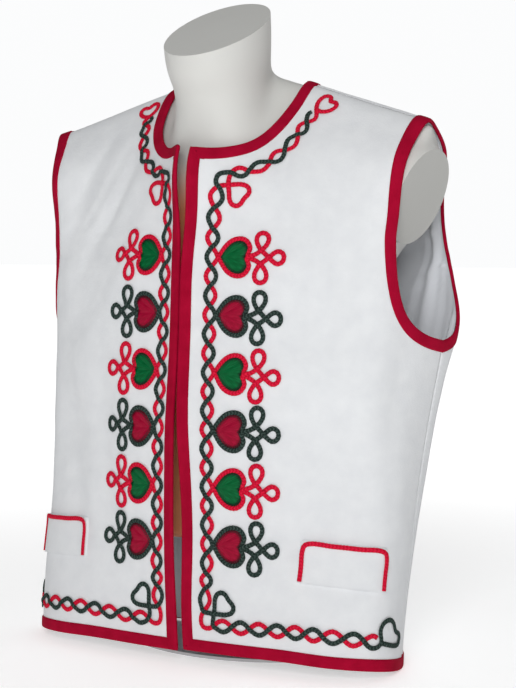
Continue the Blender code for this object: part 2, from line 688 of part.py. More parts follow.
def build_back():
    """The back panel, its lining and its bindings, from one half and its mirror image."""
    garment = Garment(1)
    hem, neck, arm = back_runs(garment)
    centre = seam_line(hem.inner[-1], neck.inner[0], 20)
    shoulder = seam_line(neck.inner[-1], arm.inner[0], 4)
    side = seam_line(arm.inner[-1], hem.inner[0], 13)
    field = Field(garment, (hem, neck, arm), (centre, shoulder, side), BACK_SPACING)
    add_solid("back", *mirrored_whole(*field.wall(0.0, WALL, field.strips + field.inside)), WHITE_FELT)
    build_lining(field, (hem, neck, arm))
    for name, run in (("binding_hem_back", hem), ("binding_neck_back", neck)):
        rings = binding_rings(run, 0, len(run.places) - 1)
        middle = 0 if abs(rings[0][0][0]) < 1.0 else -1
        rings[middle][:, 0] = 0.0
        if middle == 0:
            rings.reverse()
        mirror = [ring * np.array((-1.0, 1.0, 1.0)) for ring in reversed(rings[:-1])]
        add_channel(name, rings + mirror)
    for label, sign in (("left", 1.0), ("right", -1.0)):
        rings = [ring * np.array((sign, 1.0, 1.0)) for ring in binding_rings(arm, 0, len(arm.places) - 1)]
        add_channel("binding_armhole_back_" + label, rings)


def build_lining(field, runs):
    """The back's lining: the panel's own field, moved in, and held clear of the bindings and seams."""
    garment = field.garment
    points, normals = field.points.copy(), field.normals.copy()
    for run in runs:
        for place, inward in zip(run.inner, run.inward):
            number = field.number(place)
            moved = garment.walk(place, inward, LINING_INSET, 1)
            moved[0] = place[0] if abs(place[0] - BACK_CENTRE) < 0.01 else moved[0]
            points[number], normals[number] = garment.frame(*moved)[:2]
    top = WALL + LINING_GAP
    shapes = walls(points - normals * top, points - normals * (top + LINING_WALL), field.inside)
    points, faces = without_loose(*shapes)
    points = [np.array((0.0, point[1], point[2])) if abs(point[0]) < 0.7 else point for point in points]
    add_solid("lining_back", *mirrored_whole(points, faces), LINING_CLOTH)


def heart_line(length, half_height):
    """Half of a heart's outline, from its tip to its cleft, as (outward, sideways)."""
    return ((0.0, 0.0), (0.20 * length, 0.38 * half_height), (0.44 * length, 0.78 * half_height),
            (0.68 * length, 0.98 * half_height), (0.90 * length, 0.84 * half_height),
            (0.98 * length, 0.50 * half_height), (0.88 * length, 0.20 * half_height))


def knot_line():
    """The braid's way past the heart's cleft: a diamond of four crossings with a loop at each free corner."""
    west, middle, reach = 35.0, 42.5, 7.5
    near, far = 2.1, 5.4
    first_side = ((west + near, -near), (west + far, -far))
    down = ((47.3, -14.0), (46.8, -21.5), (42.5, -25.0), (38.2, -21.5), (37.7, -14.0))
    second_side = ((middle + near, near - reach), (middle + far, far - reach))
    outward = ((57.5, 4.6), (65.5, 5.0), (70.5, 0.0))
    half = first_side + down + second_side + outward
    return half + tuple((a, -b) for a, b in reversed(half[:-1]))


def motif_line():
    """The whole braid of a motif, from the tip round the heart and the knot and back to the tip."""
    half = heart_line(HEART_LENGTH, HEART_HALF_HEIGHT)
    lower = tuple((a, -b) for a, b in reversed(half))
    return ((2.3, 2.3),) + half[1:] + knot_line() + lower[:-1] + ((2.3, -2.3),)


def local_places(garment, start, turn, points):
    """Places on the cloth for points given as (outward, up) distances from a start."""
    _, _, along, rise = garment.frame(*start)
    out_direction = unit(along)
    up_direction = unit(rise - (rise @ out_direction) * out_direction)
    turned_out = math.cos(turn) * out_direction + math.sin(turn) * up_direction
    turned_up = -math.sin(turn) * out_direction + math.cos(turn) * up_direction
    places = []
    for a, b in points:
        direction = turned_out * a + turned_up * b
        distance = float(np.linalg.norm(direction))
        places.append(garment.walk(start, direction / max(distance, 1e-6), distance, 4) if distance > 1e-6
                      else np.array(start, float))
    return places


def segment_crossings(line_a, line_b, own):
    """Where two lines of points cross, as lengths along each."""
    found = []
    lengths_a = np.concatenate(([0.0], np.cumsum(np.linalg.norm(np.diff(line_a, axis=0), axis=1))))
    lengths_b = np.concatenate(([0.0], np.cumsum(np.linalg.norm(np.diff(line_b, axis=0), axis=1))))
    for i in range(len(line_a) - 1):
        p, r = line_a[i], line_a[i + 1] - line_a[i]
        first = i + 2 if own else 0
        q = line_b[first:-1]
        s = line_b[first + 1:] - q
        if len(q) == 0:
            continue
        cross = r[0] * s[:, 1] - r[1] * s[:, 0]
        cross = np.where(np.abs(cross) < 1e-9, 1e-9, cross)
        t = ((q[:, 0] - p[0]) * s[:, 1] - (q[:, 1] - p[1]) * s[:, 0]) / cross
        u = ((q[:, 0] - p[0]) * r[1] - (q[:, 1] - p[1]) * r[0]) / cross
        for j in np.nonzero((t >= 0) & (t < 1) & (u >= 0) & (u < 1))[0]:
            low, high = lengths_a[i:i + 2], lengths_b[first + j:first + j + 2]
            found.append((low[0] + t[j] * (low[1] - low[0]), high[0] + u[j] * (high[1] - high[0])))
    return found


def cord_lifts(places, under=None):
    """The height added at each place of a cord where it passes over itself or over another."""
    line = np.array(places)
    lengths = np.concatenate(([0.0], np.cumsum(np.linalg.norm(np.diff(line, axis=0), axis=1))))
    over = [later for _, later in segment_crossings(line, line, True)]
    if under is not None:
        over += [mine for mine, _ in segment_crossings(line, np.array(under), False)]
    lifts = np.zeros(len(line))
    for at in over:
        segment = int(np.searchsorted(lengths, at)) - 1
        lifts[max(segment, 0):segment + 2] = CORD_LIFT
        lifts[np.abs(lengths - at) < LIFT_REACH] = CORD_LIFT
    return lifts


def add_cord(name, field, places, lifts, floor_height, finish):
    """A braid sewn flat on the cloth: a low three-sided section along the places."""
    seats = np.array([field.seat(place, floor_height) for place in places])
    normals = np.array([field.garment.frame(*place)[1] for place in places])
    ahead = np.roll(seats, -1, axis=0)
    behind = np.roll(seats, 1, axis=0)
    ahead[-1], behind[0] = seats[-1], seats[0]
    asides = [unit(np.cross(normal, forward)) * CORD_WIDTH / 2 for normal, forward in zip(normals, ahead - behind)]
    lows = seats + normals * np.array(lifts)[:, None]
    rises = np.zeros(len(lows))
    links = [(i, i + 1) for i in range(len(lows) - 1)]
    for side in (-1, 0, 1):
        edge = [low + aside * side for low, aside in zip(lows, asides)]
        rises = np.maximum(rises, field.settled(edge, normals, floor_height, links))
    points = []
    for low, aside, normal, rise in zip(lows, asides, normals, rises):
        foot = low + normal * rise
        points += [foot - aside, foot + aside, foot + normal * CORD_HEIGHT]
    faces = [(0, 1, 2)]
    for ring in range(len(seats) - 1):
        for side in range(3):
            a = ring * 3 + side
            b = ring * 3 + (side + 1) % 3
            faces.append((a, b, b + 3, a + 3))
    end = (len(seats) - 1) * 3
    faces.append((end + 2, end + 1, end))
    return add_solid(name, points, faces, finish)


def add_plate(name, field, places, thickness, floor_height, finish):
    """A flat felt shape on the cloth, fanned from its middle."""
    ring = [np.mean(places, axis=0)] + list(places)
    count = len(places)
    faces = [(0, 1 + i, 1 + (i + 1) % count) for i in range(count)]
    add_patch(name, field, ring, thickness, floor_height, faces, finish)


def add_patch(name, field, places, thickness, floor_height, faces, finish):
    """A piece of cloth of even thickness laid on a panel; gives back its upper face."""
    low = [field.seat(place, floor_height) for place in places]
    normals = [field.garment.frame(*place)[1] for place in places]
    links = sorted({tuple(sorted((face[k - 1], face[k]))) for face in faces for k in range(len(face))})
    rises = field.settled(low, normals, floor_height, links)
    low = np.array(low) + np.array(normals) * rises[:, None]
    high = low + np.array(normals) * thickness
    add_solid(name, *walls(high, low, faces), finish)
    return Cover(field.garment, high, faces)


def build_motifs(garment, field, label):
    """Six hearts beside the chain, with the braid that outlines them and knots beyond."""
    for number in range(MOTIF_COUNT):
        up = MOTIF_FIRST_UP + MOTIF_PITCH * (MOTIF_COUNT - 1 - number)
        start = (chain_across(up) + MOTIF_TIP, up)
        red_outline = number % 2 == 0
        line = local_places(garment, start, 0.0, motif_line())
        tag = "_" + str(number + 1) + "_" + label
        add_cord("motif_braid" + tag, field, line, cord_lifts(line), CORD_GAP, RED_CORD if red_outline else GREEN_CORD)
        half = heart_line(HEART_LENGTH, HEART_HALF_HEIGHT)
        whole = half + ((0.80 * HEART_LENGTH, 0.0),) + tuple((a, -b) for a, b in reversed(half[1:]))
        inside = [(4.8 + a * 0.75, b * 0.78) for a, b in whole]
        add_plate("heart" + tag, field, local_places(garment, start, 0.0, inside), HEART_PLATE, CORD_GAP,
                  GREEN_SATIN if red_outline else CRIMSON_FELT)


def chain_across(up):
    """Where the chain's middle runs beside the front edge."""
    return CHAIN_AT_HEM - CHAIN_LEAN * up


def swung(waves, start_sign):
    """(length in waves, offset) along a leg of the chain, between a crossing at each end of every half wave."""
    return [(wave + phase, start_sign * (-1) ** wave * CHAIN_SWING * math.sin(math.pi * phase))
            for wave in range(waves) for phase in CHAIN_PHASES]


def neck_leg(garment, sign):
    """One braid beside the neck, from the corner's crossing to the shoulder."""
    middle = smooth_line(CHAIN_NECK, 60)
    points = np.array([garment.frame(*place)[0] for place in middle])
    lengths = np.concatenate(([0.0], np.cumsum(np.linalg.norm(np.diff(points, axis=0), axis=1))))
    pitch = (lengths[-1] - CORNER_CROSSING) / CHAIN_NECK_WAVES
    places = []
    for waves, offset in swung(CHAIN_NECK_WAVES, sign):
        at = CORNER_CROSSING + waves * pitch
        place = np.array([np.interp(at, lengths, [spot[k] for spot in middle]) for k in (0, 1)])
        ahead = np.array([np.interp(at + 2.0, lengths, points[:, k]) for k in range(3)])
        behind = np.array([np.interp(at - 2.0, lengths, points[:, k]) for k in range(3)])
        inward = -garment.side * unit(np.cross(garment.frame(*place)[1], ahead - behind))
        places.append(garment.walk(place, inward, offset, 2))
    return places


def end_heart(garment, start, turn, length, half_height):
    half = heart_line(length, half_height)
    whole = half + tuple((a, -b) for a, b in reversed(half[1:]))
    return local_places(garment, start, turn, whole)


def chain_braid(garment, is_red):
    """One of the two braids of a front, from its hem end round both corners to its shoulder end."""
    loops_below = not is_red
    inward_first = -1.0 if loops_below else 1.0
    bottom = (CHAIN_AT_HEM, CHAIN_BOTTOM)
    hem = [(bottom[0] + CORNER_CROSSING + waves * CHAIN_HEM_PITCH, bottom[1] + offset)
           for waves, offset in swung(CHAIN_HEM_WAVES, inward_first)]
    places = [np.array(place) for place in reversed(hem)]
    if not is_red:
        out, up, turn, length, half = HEM_HEART
        tip = (hem[-1][0] + out, hem[-1][1] + up)
        places = list(reversed(end_heart(garment, tip, turn, length, half))) + places
    corner = CORNER_LOOP if loops_below else CORNER_OUTSIDE
    places += local_places(garment, bottom, 0.0, corner)
    low = CHAIN_BOTTOM + CORNER_BELOW_FRONT
    high = CHAIN_TOP - CORNER_ABOVE_FRONT
    for waves, offset in swung(CHAIN_FRONT_WAVES, inward_first):
        up = low + (high - low) * waves / CHAIN_FRONT_WAVES
        places.append(np.array((chain_across(up) + offset, up)))
    top = (CHAIN_TOP_ACROSS, CHAIN_TOP)
    corner = CORNER_OUTSIDE if loops_below else CORNER_LOOP
    places += local_places(garment, top, CORNER_TURN, [(a, -b) for a, b in reversed(corner)])
    places += neck_leg(garment, 1.0 if loops_below else -1.0)
    if is_red:
        out, up, turn, length, half = NECK_HEART
        places += end_heart(garment, places[-1] + np.array((out, up)), turn, length, half)[1:]
    return places


def build_chain(garment, field, label):
    """The interlaced red and green braids; green lies over red at each crossing."""
    red, green = chain_braid(garment, True), chain_braid(garment, False)
    add_cord("chain_red_" + label, field, red, cord_lifts(red), CORD_GAP, RED_CORD)
    add_cord("chain_green_" + label, field, green, cord_lifts(green, red), CORD_GAP, GREEN_CORD)


def build_welt(garment, field, label):
    """The pocket's welt and the braid round its top and sides."""
    start = (WELT_ACROSS, WELT_UP)
    columns, rows = 6, 3
    grid = [(WELT_WIDTH * i / columns, WELT_HEIGHT * j / rows) for j in range(rows + 1) for i in range(columns + 1)]
    places = local_places(garment, start, WELT_TURN, grid)
    faces = []
    for j in range(rows):
        for i in range(columns):
            a = j * (columns + 1) + i
            faces += [(a, a + 1, a + columns + 2), (a, a + columns + 2, a + columns + 1)]
    welt = add_patch("pocket_welt_" + label, field, places, WELT_WALL, CORD_GAP, faces, WHITE_FELT)
    inset, corner = 3.6, 7.0
    right, top = WELT_WIDTH - inset, WELT_HEIGHT - inset
    line = [(inset, 1.5), (inset, top / 3), (inset, 2 * top / 3), (inset, top - corner)]
    line += [(inset + 0.3 * corner, top - 0.3 * corner), (inset + corner, top)]
    line += [(inset + corner + (right - inset - 2 * corner) * step / 5, top) for step in range(1, 5)]
    line += [(right - corner, top), (right - 0.3 * corner, top - 0.3 * corner), (right, top - corner)]
    line += [(right, 2 * top / 3), (right, top / 3), (right, 1.5)]
    stations = smooth_line(local_places(garment, start, WELT_TURN, line), 27)
    add_cord("pocket_braid_" + label, welt, stations, np.zeros(27), CORD_GAP, RED_CORD)


def form_rings(garment):
    """Sections of the dress form's torso: the garment's own sections, drawn in."""
    rings = []
    for up, scale, inset in FORM_ROWS:
        ring = []
        for across in FORM_ACROSS:
            point = garment.base(across, up)
            along = garment.base(across + 1.0, up) - garment.base(across - 1.0, up)
            rise = garment.base(across, up + 1.0) - garment.base(across, up - 1.0)
            point = point - unit(np.cross(along, rise)) * inset
            point[0] = max(point[0], 0.0) * scale
            point[1] *= scale
            height = point[2] - HEM_HEIGHT
            if height > STUB_FOOT_UP:
                point[0] = min(point[0], STUB_FOOT_X + (height - STUB_FOOT_UP) * STUB_SLOPE)
            ring.append(point)
        ring[0][0] = 0.0
        ring[-1][0] = 0.0
        mirror = np.array((-1.0, 1.0, 1.0))
        rings.append(ring + [point * mirror for point in reversed(ring[1:-1])])
    return rings


def ringed(rings_count, size):
    """The side faces between closed rings of points that follow one another."""
    faces = []
    for row in range(rings_count - 1):
        for i in range(size):
            a, b = row * size + i, row * size + (i + 1) % size
            faces.append((a, b, b + size, a + size))
    return faces


def form_ridge(garment, points, size, top):
    """The ridge of the form's shoulders and the faces that join it to the topmost ring."""
    turn = len(FORM_ACROSS)
    drop = np.array((0.0, 0.0, RIDGE_DROP))
    middle = len(points)
    points.append(garment.base(0.0, RIDGE_UP) - drop)
    points[-1][0] = 0.0
    faces = []
    for mirror in (1.0, -1.0):
        ridge = [middle] + [len(points) + i for i in range(turn // 2 - 1)]
        for across in FORM_ACROSS[1:turn // 2]:
            point = garment.base(across, RIDGE_UP) - drop
            point[0] = mirror * min(point[0], STUB_TOP_X)
            points.append(point)
        order = [top + (i if mirror > 0 else (size - i) % size) for i in range(turn)]
        for i in range(turn // 2 - 1):
            faces.append((order[i], order[i + 1], ridge[i + 1], ridge[i]))
            faces.append((order[turn - 2 - i], order[turn - 1 - i], ridge[i], ridge[i + 1]))
        faces.append((order[turn // 2 - 1], order[turn // 2], ridge[-1]))
    return faces


def add_neck():
    """The form's leaning neck, as a solid that is then joined to the torso."""
    points = []
    for height, middle, half_width, half_depth, slope in NECK_ROWS:
        for step in range(NECK_SIDES):
            angle = 2 * math.pi * step / NECK_SIDES
            forward = half_depth * math.cos(angle)
            points.append(np.array((half_width * math.sin(angle), middle - forward,
                                    HEM_HEIGHT + height - slope * forward)))
    last = len(points) - NECK_SIDES
    caps = [tuple(reversed(range(NECK_SIDES))), tuple(range(last, len(points)))]
    return add_solid("form_neck", points, ringed(len(NECK_ROWS), NECK_SIDES) + caps, FORM_SHELL)


def build_form():
    """The limbless dress form with its neck, the post it stands on and the base plate."""
    garment = Garment(1)
    rings = form_rings(garment)
    size = len(rings[0])
    points = [point for ring in rings for point in ring]
    faces = [tuple(reversed(range(size)))] + ringed(len(rings), size)
    faces += form_ridge(garment, points, size, (len(rings) - 1) * size)
    torso = add_solid("form_torso", points, faces, FORM_SHELL)
    neck = add_neck()
    union = torso.modifiers.new("neck", "BOOLEAN")
    union.operation = "UNION"
    union.object = neck
    bpy.context.view_layer.update()
    joined = bpy.data.meshes.new_from_object(torso.evaluated_get(bpy.context.evaluated_depsgraph_get()))
    torso.modifiers.remove(union)
    torso.data = joined
    bpy.data.objects.remove(neck, do_unlink=True)
    torso_foot = HEM_HEIGHT + FORM_ROWS[0][0]
    add_round("form_post", POST_RADIUS, POST_RADIUS, BASE_THICKNESS + SEAM_GAP, torso_foot - SEAM_GAP, POST_SIDES)
    add_round("form_base", BASE_HALF_WIDTH, BASE_HALF_DEPTH, 0.0, BASE_THICKNESS, BASE_SIDES)


def add_round(name, half_width, half_depth, low, high, sides):
    """An upright oval solid of base metal round the post's axis."""
    points = []
    for height in (low, high):
        for step in range(sides):
            angle = 2 * math.pi * step / sides
            points.append(np.array((half_width * math.cos(angle), half_depth * math.sin(angle), height)))
    faces = [tuple(reversed(range(sides))), tuple(range(sides, 2 * sides))]
    faces += [(i, (i + 1) % sides, (i + 1) % sides + sides, i + sides) for i in range(sides)]
    return add_solid(name, points, faces, BASE_METAL)


def main():
    clear_scene()
    build_form()
    build_back()
    for side, label in ((1, "left"), (-1, "right")):
        garment = Garment(side)
        field, edge = build_front(garment, label)
        build_motifs(garment, field, label)
        build_chain(garment, field, label)
        build_welt(garment, field, label)


main()
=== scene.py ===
import math

import bmesh
import bpy
import numpy as np
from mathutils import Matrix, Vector
from mathutils.geometry import delaunay_2d_cdt


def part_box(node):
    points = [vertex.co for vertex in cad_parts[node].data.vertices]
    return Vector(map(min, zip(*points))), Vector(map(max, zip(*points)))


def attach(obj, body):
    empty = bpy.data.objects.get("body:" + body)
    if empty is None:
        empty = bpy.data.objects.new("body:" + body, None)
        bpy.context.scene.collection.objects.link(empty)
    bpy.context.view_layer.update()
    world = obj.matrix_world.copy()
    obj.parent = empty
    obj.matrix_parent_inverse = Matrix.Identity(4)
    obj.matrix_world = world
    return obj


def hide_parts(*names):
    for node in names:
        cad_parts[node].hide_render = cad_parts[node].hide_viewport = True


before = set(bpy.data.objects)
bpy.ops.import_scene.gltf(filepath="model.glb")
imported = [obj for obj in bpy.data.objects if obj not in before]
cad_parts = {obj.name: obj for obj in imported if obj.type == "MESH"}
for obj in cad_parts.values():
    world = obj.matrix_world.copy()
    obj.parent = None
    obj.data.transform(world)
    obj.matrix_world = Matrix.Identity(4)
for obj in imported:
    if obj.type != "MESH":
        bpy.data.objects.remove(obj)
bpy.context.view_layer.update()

# The studio. A pale floor runs off to the horizon under a soft surround. One broad light stands high in front,
# and a weak one behind parts the shoulders from the surround.
FLOOR_WIDTH = 60.0
VIEW_TURN = math.radians(30.0)
VIEW_DISTANCE = 1.784
VIEW_BEHIND = 0.015
VIEW_HEIGHT = 0.439
VIEW_PITCH = math.radians(3.454)
VIEW_YAW = math.radians(0.585)
LENS = 84.0


def plain_material(name, colour, roughness):
    made = bpy.data.materials.new(name)
    made.use_nodes = True
    shader = made.node_tree.nodes["Principled BSDF"]
    shader.inputs["Base Color"].default_value = colour + (1.0,)
    shader.inputs["Roughness"].default_value = roughness
    return made, made.node_tree, shader


def soft_light(name, place, aim, size, power):
    lamp = bpy.data.lights.new(name, "AREA")
    lamp.shape = "DISK"
    lamp.size = size
    lamp.energy = power
    light = bpy.data.objects.new(name, lamp)
    light.location = place
    direction = np.array(aim) - np.array(place)
    light.rotation_euler = (math.atan2(math.hypot(direction[0], direction[1]), -direction[2]), 0.0,
                            math.atan2(direction[1], direction[0]) - math.pi / 2)
    bpy.context.scene.collection.objects.link(light)


camera = bpy.data.objects.new("camera", bpy.data.cameras.new("camera"))
camera.data.lens = LENS
camera.data.sensor_width = 36.0
camera.data.clip_start = 0.05
camera.location = (VIEW_DISTANCE * math.sin(VIEW_TURN), VIEW_BEHIND - VIEW_DISTANCE * math.cos(VIEW_TURN),
                   VIEW_HEIGHT)
camera.rotation_euler = (math.pi / 2 - VIEW_PITCH, 0.0, VIEW_TURN - VIEW_YAW)
bpy.context.scene.collection.objects.link(camera)
bpy.context.scene.camera = camera

# The surround: a white backdrop behind the vest, grey screens at both sides, and soft grey elsewhere
BACKDROP_WAY = (-math.sin(VIEW_TURN), math.cos(VIEW_TURN), 0.0)
SCREEN_WAY = (math.cos(VIEW_TURN), math.sin(VIEW_TURN), 0.0)
ROOM_LEVEL = 0.20
surround = bpy.data.worlds.new("surround")
surround.use_nodes = True
room = surround.node_tree
place_in_room = room.nodes.new("ShaderNodeTexCoord")
level = None
for way, start, end, change in ((BACKDROP_WAY, 0.84, 0.97, 0.78), ((0.0, 0.0, 1.0), 0.2, 1.0, 0.20), (SCREEN_WAY, 0.25, 0.85, -0.17),
                                (tuple(-v for v in SCREEN_WAY), 0.25, 0.85, -0.17)):
    towards = room.nodes.new("ShaderNodeVectorMath")
    towards.operation = "DOT_PRODUCT"
    towards.inputs[1].default_value = way
    room.links.new(place_in_room.outputs["Generated"], towards.inputs[0])
    share = room.nodes.new("ShaderNodeMapRange")
    share.interpolation_type = "SMOOTHSTEP"
    share.inputs["From Min"].default_value = start
    share.inputs["From Max"].default_value = end
    share.inputs["To Max"].default_value = change
    room.links.new(towards.outputs["Value"], share.inputs["Value"])
    total = room.nodes.new("ShaderNodeMath")
    total.operation = "ADD"
    total.inputs[1].default_value = ROOM_LEVEL
    room.links.new(share.outputs["Result"], total.inputs[0])
    if level is not None:
        room.links.new(level, total.inputs[1])
    level = total.outputs["Value"]
background = room.nodes["Background"]
background.inputs["Color"].default_value = (0.99, 0.995, 1.0, 1.0)
room.links.new(level, background.inputs["Strength"])
bpy.context.scene.world = surround
bpy.context.scene.view_settings.view_transform = "Standard"


def floor_material():
    """White paper, lit through from below and brighter towards the backdrop."""
    made, tree, shader = plain_material("floor_paper", (0.90, 0.90, 0.90), 0.9)
    shader.inputs["Specular IOR Level"].default_value = 0.0
    shader.inputs["Emission Color"].default_value = (1.0, 1.0, 1.0, 1.0)
    where = tree.nodes.new("ShaderNodeTexCoord")
    far = tree.nodes.new("ShaderNodeVectorMath")
    far.operation = "DOT_PRODUCT"
    far.inputs[1].default_value = BACKDROP_WAY
    glow = tree.nodes.new("ShaderNodeMapRange")
    glow.interpolation_type = "SMOOTHSTEP"
    for socket, value in (("From Min", 0.1), ("From Max", 1.8), ("To Min", 0.46), ("To Max", 0.85)):
        glow.inputs[socket].default_value = value
    tree.links.new(where.outputs["Object"], far.inputs[0])
    tree.links.new(far.outputs["Value"], glow.inputs["Value"])
    tree.links.new(glow.outputs["Result"], shader.inputs["Emission Strength"])
    return made


bpy.ops.mesh.primitive_plane_add(size=FLOOR_WIDTH)
floor = bpy.context.object
floor.name = "floor"
floor.data.materials.append(floor_material())

MIDDLE = (0.0, 0.0, 0.36)
soft_light("light_front", (1.02, -2.30, 1.25), MIDDLE, 1.2, 32.0)
soft_light("light_behind", (0.6, 2.4, 2.0), MIDDLE, 1.6, 6.0)

# The vest's cut. It is a straight hip-length vest of dense wool felt, worn open over the form. Sections from
# hem to shoulder give its shape: "across" counts millimetres of cloth from the centre front round the side
# to the centre back, and "up" counts them from the hem to the shoulder seam.
HEM_HEIGHT = 16.0
FELT = 2.2
BINDING_WIDTH = 11.6
BINDING_FELT = 1.5
FRONT_ACROSS = (5.0, 40.0, 80.0, 125.0, 170.0, 212.0)
SIDE_ACROSS = 280.0
BACK_ACROSS = (348.0, 390.0, 435.0, 480.0, 520.0, 560.0)
ALL_ACROSS = FRONT_ACROSS + (SIDE_ACROSS,) + BACK_ACROSS
BACK_CENTRE = 560.0
RIDGE_UP = 651.0

# up, height, fall towards the shoulder, distance forward of the shoulder line at 5, 40, 80, 125 and 170 mm
# from the middle, then where the section turns to the side and how far forward that is
FRONT_SECTIONS = (
    (0, 0.8, 0.00, 114.5, 114.0, 111.5, 107.0, 100.0, 209, 76.0),
    (40, 40.0, 0.00, 114.5, 113.5, 111.0, 106.0, 98.0, 209, 73.0),
    (108, 108.0, 0.00, 111.5, 110.0, 105.5, 97.5, 85.5, 208, 62.0),
    (170, 170.0, 0.00, 111.0, 109.5, 104.0, 94.0, 79.5, 207, 57.0),
    (232, 232.0, 0.00, 110.0, 108.0, 102.0, 90.5, 74.5, 206, 54.0),
    (290, 290.0, 0.00, 104.5, 103.0, 98.0, 89.0, 75.0, 206, 51.5),
    (345, 345.0, 0.00, 100.5, 98.5, 93.5, 83.5, 69.0, 206, 48.0),
    (400, 400.0, 0.02, 97.5, 95.0, 89.5, 78.5, 62.5, 206, 46.5),
    (455, 456.0, 0.12, 98.5, 88.0, 79.0, 69.0, 57.5, 206, 46.0),
    (529, 528.7, 0.32, 101.0, 76.0, 63.5, 57.0, 51.0, 208, 43.5),
    (574, 569.7, 0.32, 75.0, 52.0, 39.0, 39.0, 40.0, 211, 40.5),
    (616, 604.7, 0.32, 40.0, 22.0, 13.0, 15.5, 18.5, 213, 22.0),
    (651, 626.7, 0.32, -5.0, -12.0, -12.3, -9.0, -4.7, 214, 0.0),
)
# the same behind the shoulder line, at 0, 40, 80, 125 and 170 mm from the middle
BACK_SECTIONS = (
    (0, -8.0, 0.00, 39.0, 39.0, 38.5, 37.0, 31.0, 194, 13.0),
    (40, 36.0, 0.00, 46.0, 46.0, 45.0, 43.0, 37.0, 195, 19.0),
    (108, 108.0, 0.00, 60.0, 60.0, 58.5, 55.5, 49.0, 199, 31.0),
    (170, 170.0, 0.00, 72.0, 72.0, 70.5, 67.0, 60.0, 204, 42.0),
    (232, 232.0, 0.00, 85.0, 85.0, 83.0, 79.0, 71.0, 209, 52.0),
    (290, 290.0, 0.00, 98.0, 98.0, 96.0, 92.0, 84.0, 214, 66.0),
    (345, 345.0, 0.00, 108.0, 108.0, 106.0, 102.0, 95.0, 221, 80.0),
    (400, 405.0, 0.05, 116.0, 116.0, 114.0, 110.0, 104.0, 212, 95.0),
    (455, 467.0, 0.21, 108.0, 109.0, 109.5, 107.0, 102.0, 207, 95.0),
    (529, 541.0, 0.26, 84.0, 85.5, 88.0, 90.0, 89.0, 206, 85.5),
    (574, 578.0, 0.24, 60.0, 62.0, 67.0, 69.0, 68.0, 214, 65.5),
    (616, 612.0, 0.285, 36.0, 39.0, 45.0, 43.0, 38.5, 214, 33.5),
    (651, 626.7, 0.32, 8.0, 12.0, 12.3, 9.0, 4.7, 214, 0.0),
)
# height, distance from the middle and distance behind the shoulder line of the side
SIDE_SECTIONS = (
    (-7.0, 209.0, -13.0), (36, 209.5, -8.0), (108, 213.5, 2.0), (170, 218.0, 9.0), (232, 224.0, 18.0),
    (290, 231.5, 26.5), (345, 239.0, 31.0), (395, 241.0, 33.0), (430, 240.0, 28.0), (470, 237.0, 22.0),
    (510, 238.0, 12.0), (538, 240.0, 2.0), (550, 242.0, -3.0),
)
# up, the left front's edge, how far it juts, the right front's edge, how far it juts
EDGE_SECTIONS = (
    (0, 3.0, 0.0, 3.0, 1.0), (50, 0.5, 0.0, 5.0, 3.0), (105, 0.5, 1.0, 8.5, 7.0), (180, -1.0, 3.0, 8.5, 8.5),
    (250, -4.0, 6.0, 8.0, 9.0), (345, -4.5, 7.0, 7.0, 9.0), (416, -4.5, 5.0, 7.0, 9.0),
    (472, 0.5, 2.0, 5.5, 10.0), (529, 4.5, 0.0, 4.5, 6.0),
)
PUSH_REACH = 34.0
# Troughs in the worn cloth: which front (1 is the left), from (across, up) to (across, up), depth, half width
FOLDS = (
    (-1, 95.0, 560.0, 150.0, 400.0, 3.4, 16.0), (-1, 75.0, 500.0, 165.0, 330.0, 2.8, 19.0),
    (-1, 150.0, 585.0, 195.0, 430.0, 3.0, 17.0), (-1, 190.0, 330.0, 175.0, 210.0, 2.6, 18.0),
    (-1, 118.0, 330.0, 96.0, 90.0, 2.4, 17.0), (-1, 160.0, 240.0, 140.0, 60.0, 2.0, 15.0),
    (1, 232.0, 345.0, 205.0, 150.0, 3.0, 20.0), (1, 160.0, 560.0, 195.0, 430.0, 1.5, 20.0),
)
# Smaller creases, over the whole ring, in the same form
CREASES = (
    (-1, 112.0, 575.0, 160.0, 470.0, 1.3, 7.0), (-1, 96.0, 545.0, 128.0, 455.0, 1.2, 6.5),
    (-1, 128.0, 470.0, 172.0, 372.0, 1.1, 9.0), (-1, 140.0, 600.0, 182.0, 520.0, 1.0, 7.5),
    (-1, 84.0, 452.0, 132.0, 352.0, 0.9, 8.0), (-1, 176.0, 300.0, 150.0, 210.0, 0.9, 10.0),
    (-1, 205.0, 420.0, 188.0, 345.0, 0.9, 9.0), (-1, 120.0, 190.0, 182.0, 160.0, 0.7, 9.0),
    (1, 118.0, 590.0, 152.0, 510.0, 0.8, 8.0), (1, 196.0, 560.0, 206.0, 430.0, 0.9, 8.0),
    (1, 150.0, 420.0, 196.0, 330.0, 0.8, 11.0), (1, 236.0, 330.0, 222.0, 235.0, 1.0, 9.0),
    (1, 218.0, 210.0, 232.0, 110.0, 0.8, 10.0), (1, 120.0, 250.0, 160.0, 190.0, 0.6, 11.0),
    (0, 330.0, 300.0, 352.0, 190.0, 1.6, 15.0), (0, 380.0, 480.0, 350.0, 380.0, 1.5, 12.0),
    (0, 430.0, 585.0, 392.0, 500.0, 1.3, 11.0), (0, 470.0, 420.0, 420.0, 330.0, 1.2, 15.0),
    (0, 350.0, 560.0, 352.0, 440.0, 1.3, 10.0), (0, 505.0, 545.0, 470.0, 440.0, 1.0, 12.0),
    (0, 520.0, 300.0, 500.0, 150.0, 1.2, 16.0), (0, 415.0, 240.0, 432.0, 90.0, 1.4, 15.0),
)
GRID = 2.0
LOW_ACROSS, HIGH_ACROSS = -12.0, 572.0
LOW_UP, HIGH_UP = -6.0, 684.0


def unit(vectors):
    return vectors / np.maximum(np.linalg.norm(vectors, axis=-1, keepdims=True), 1e-9)


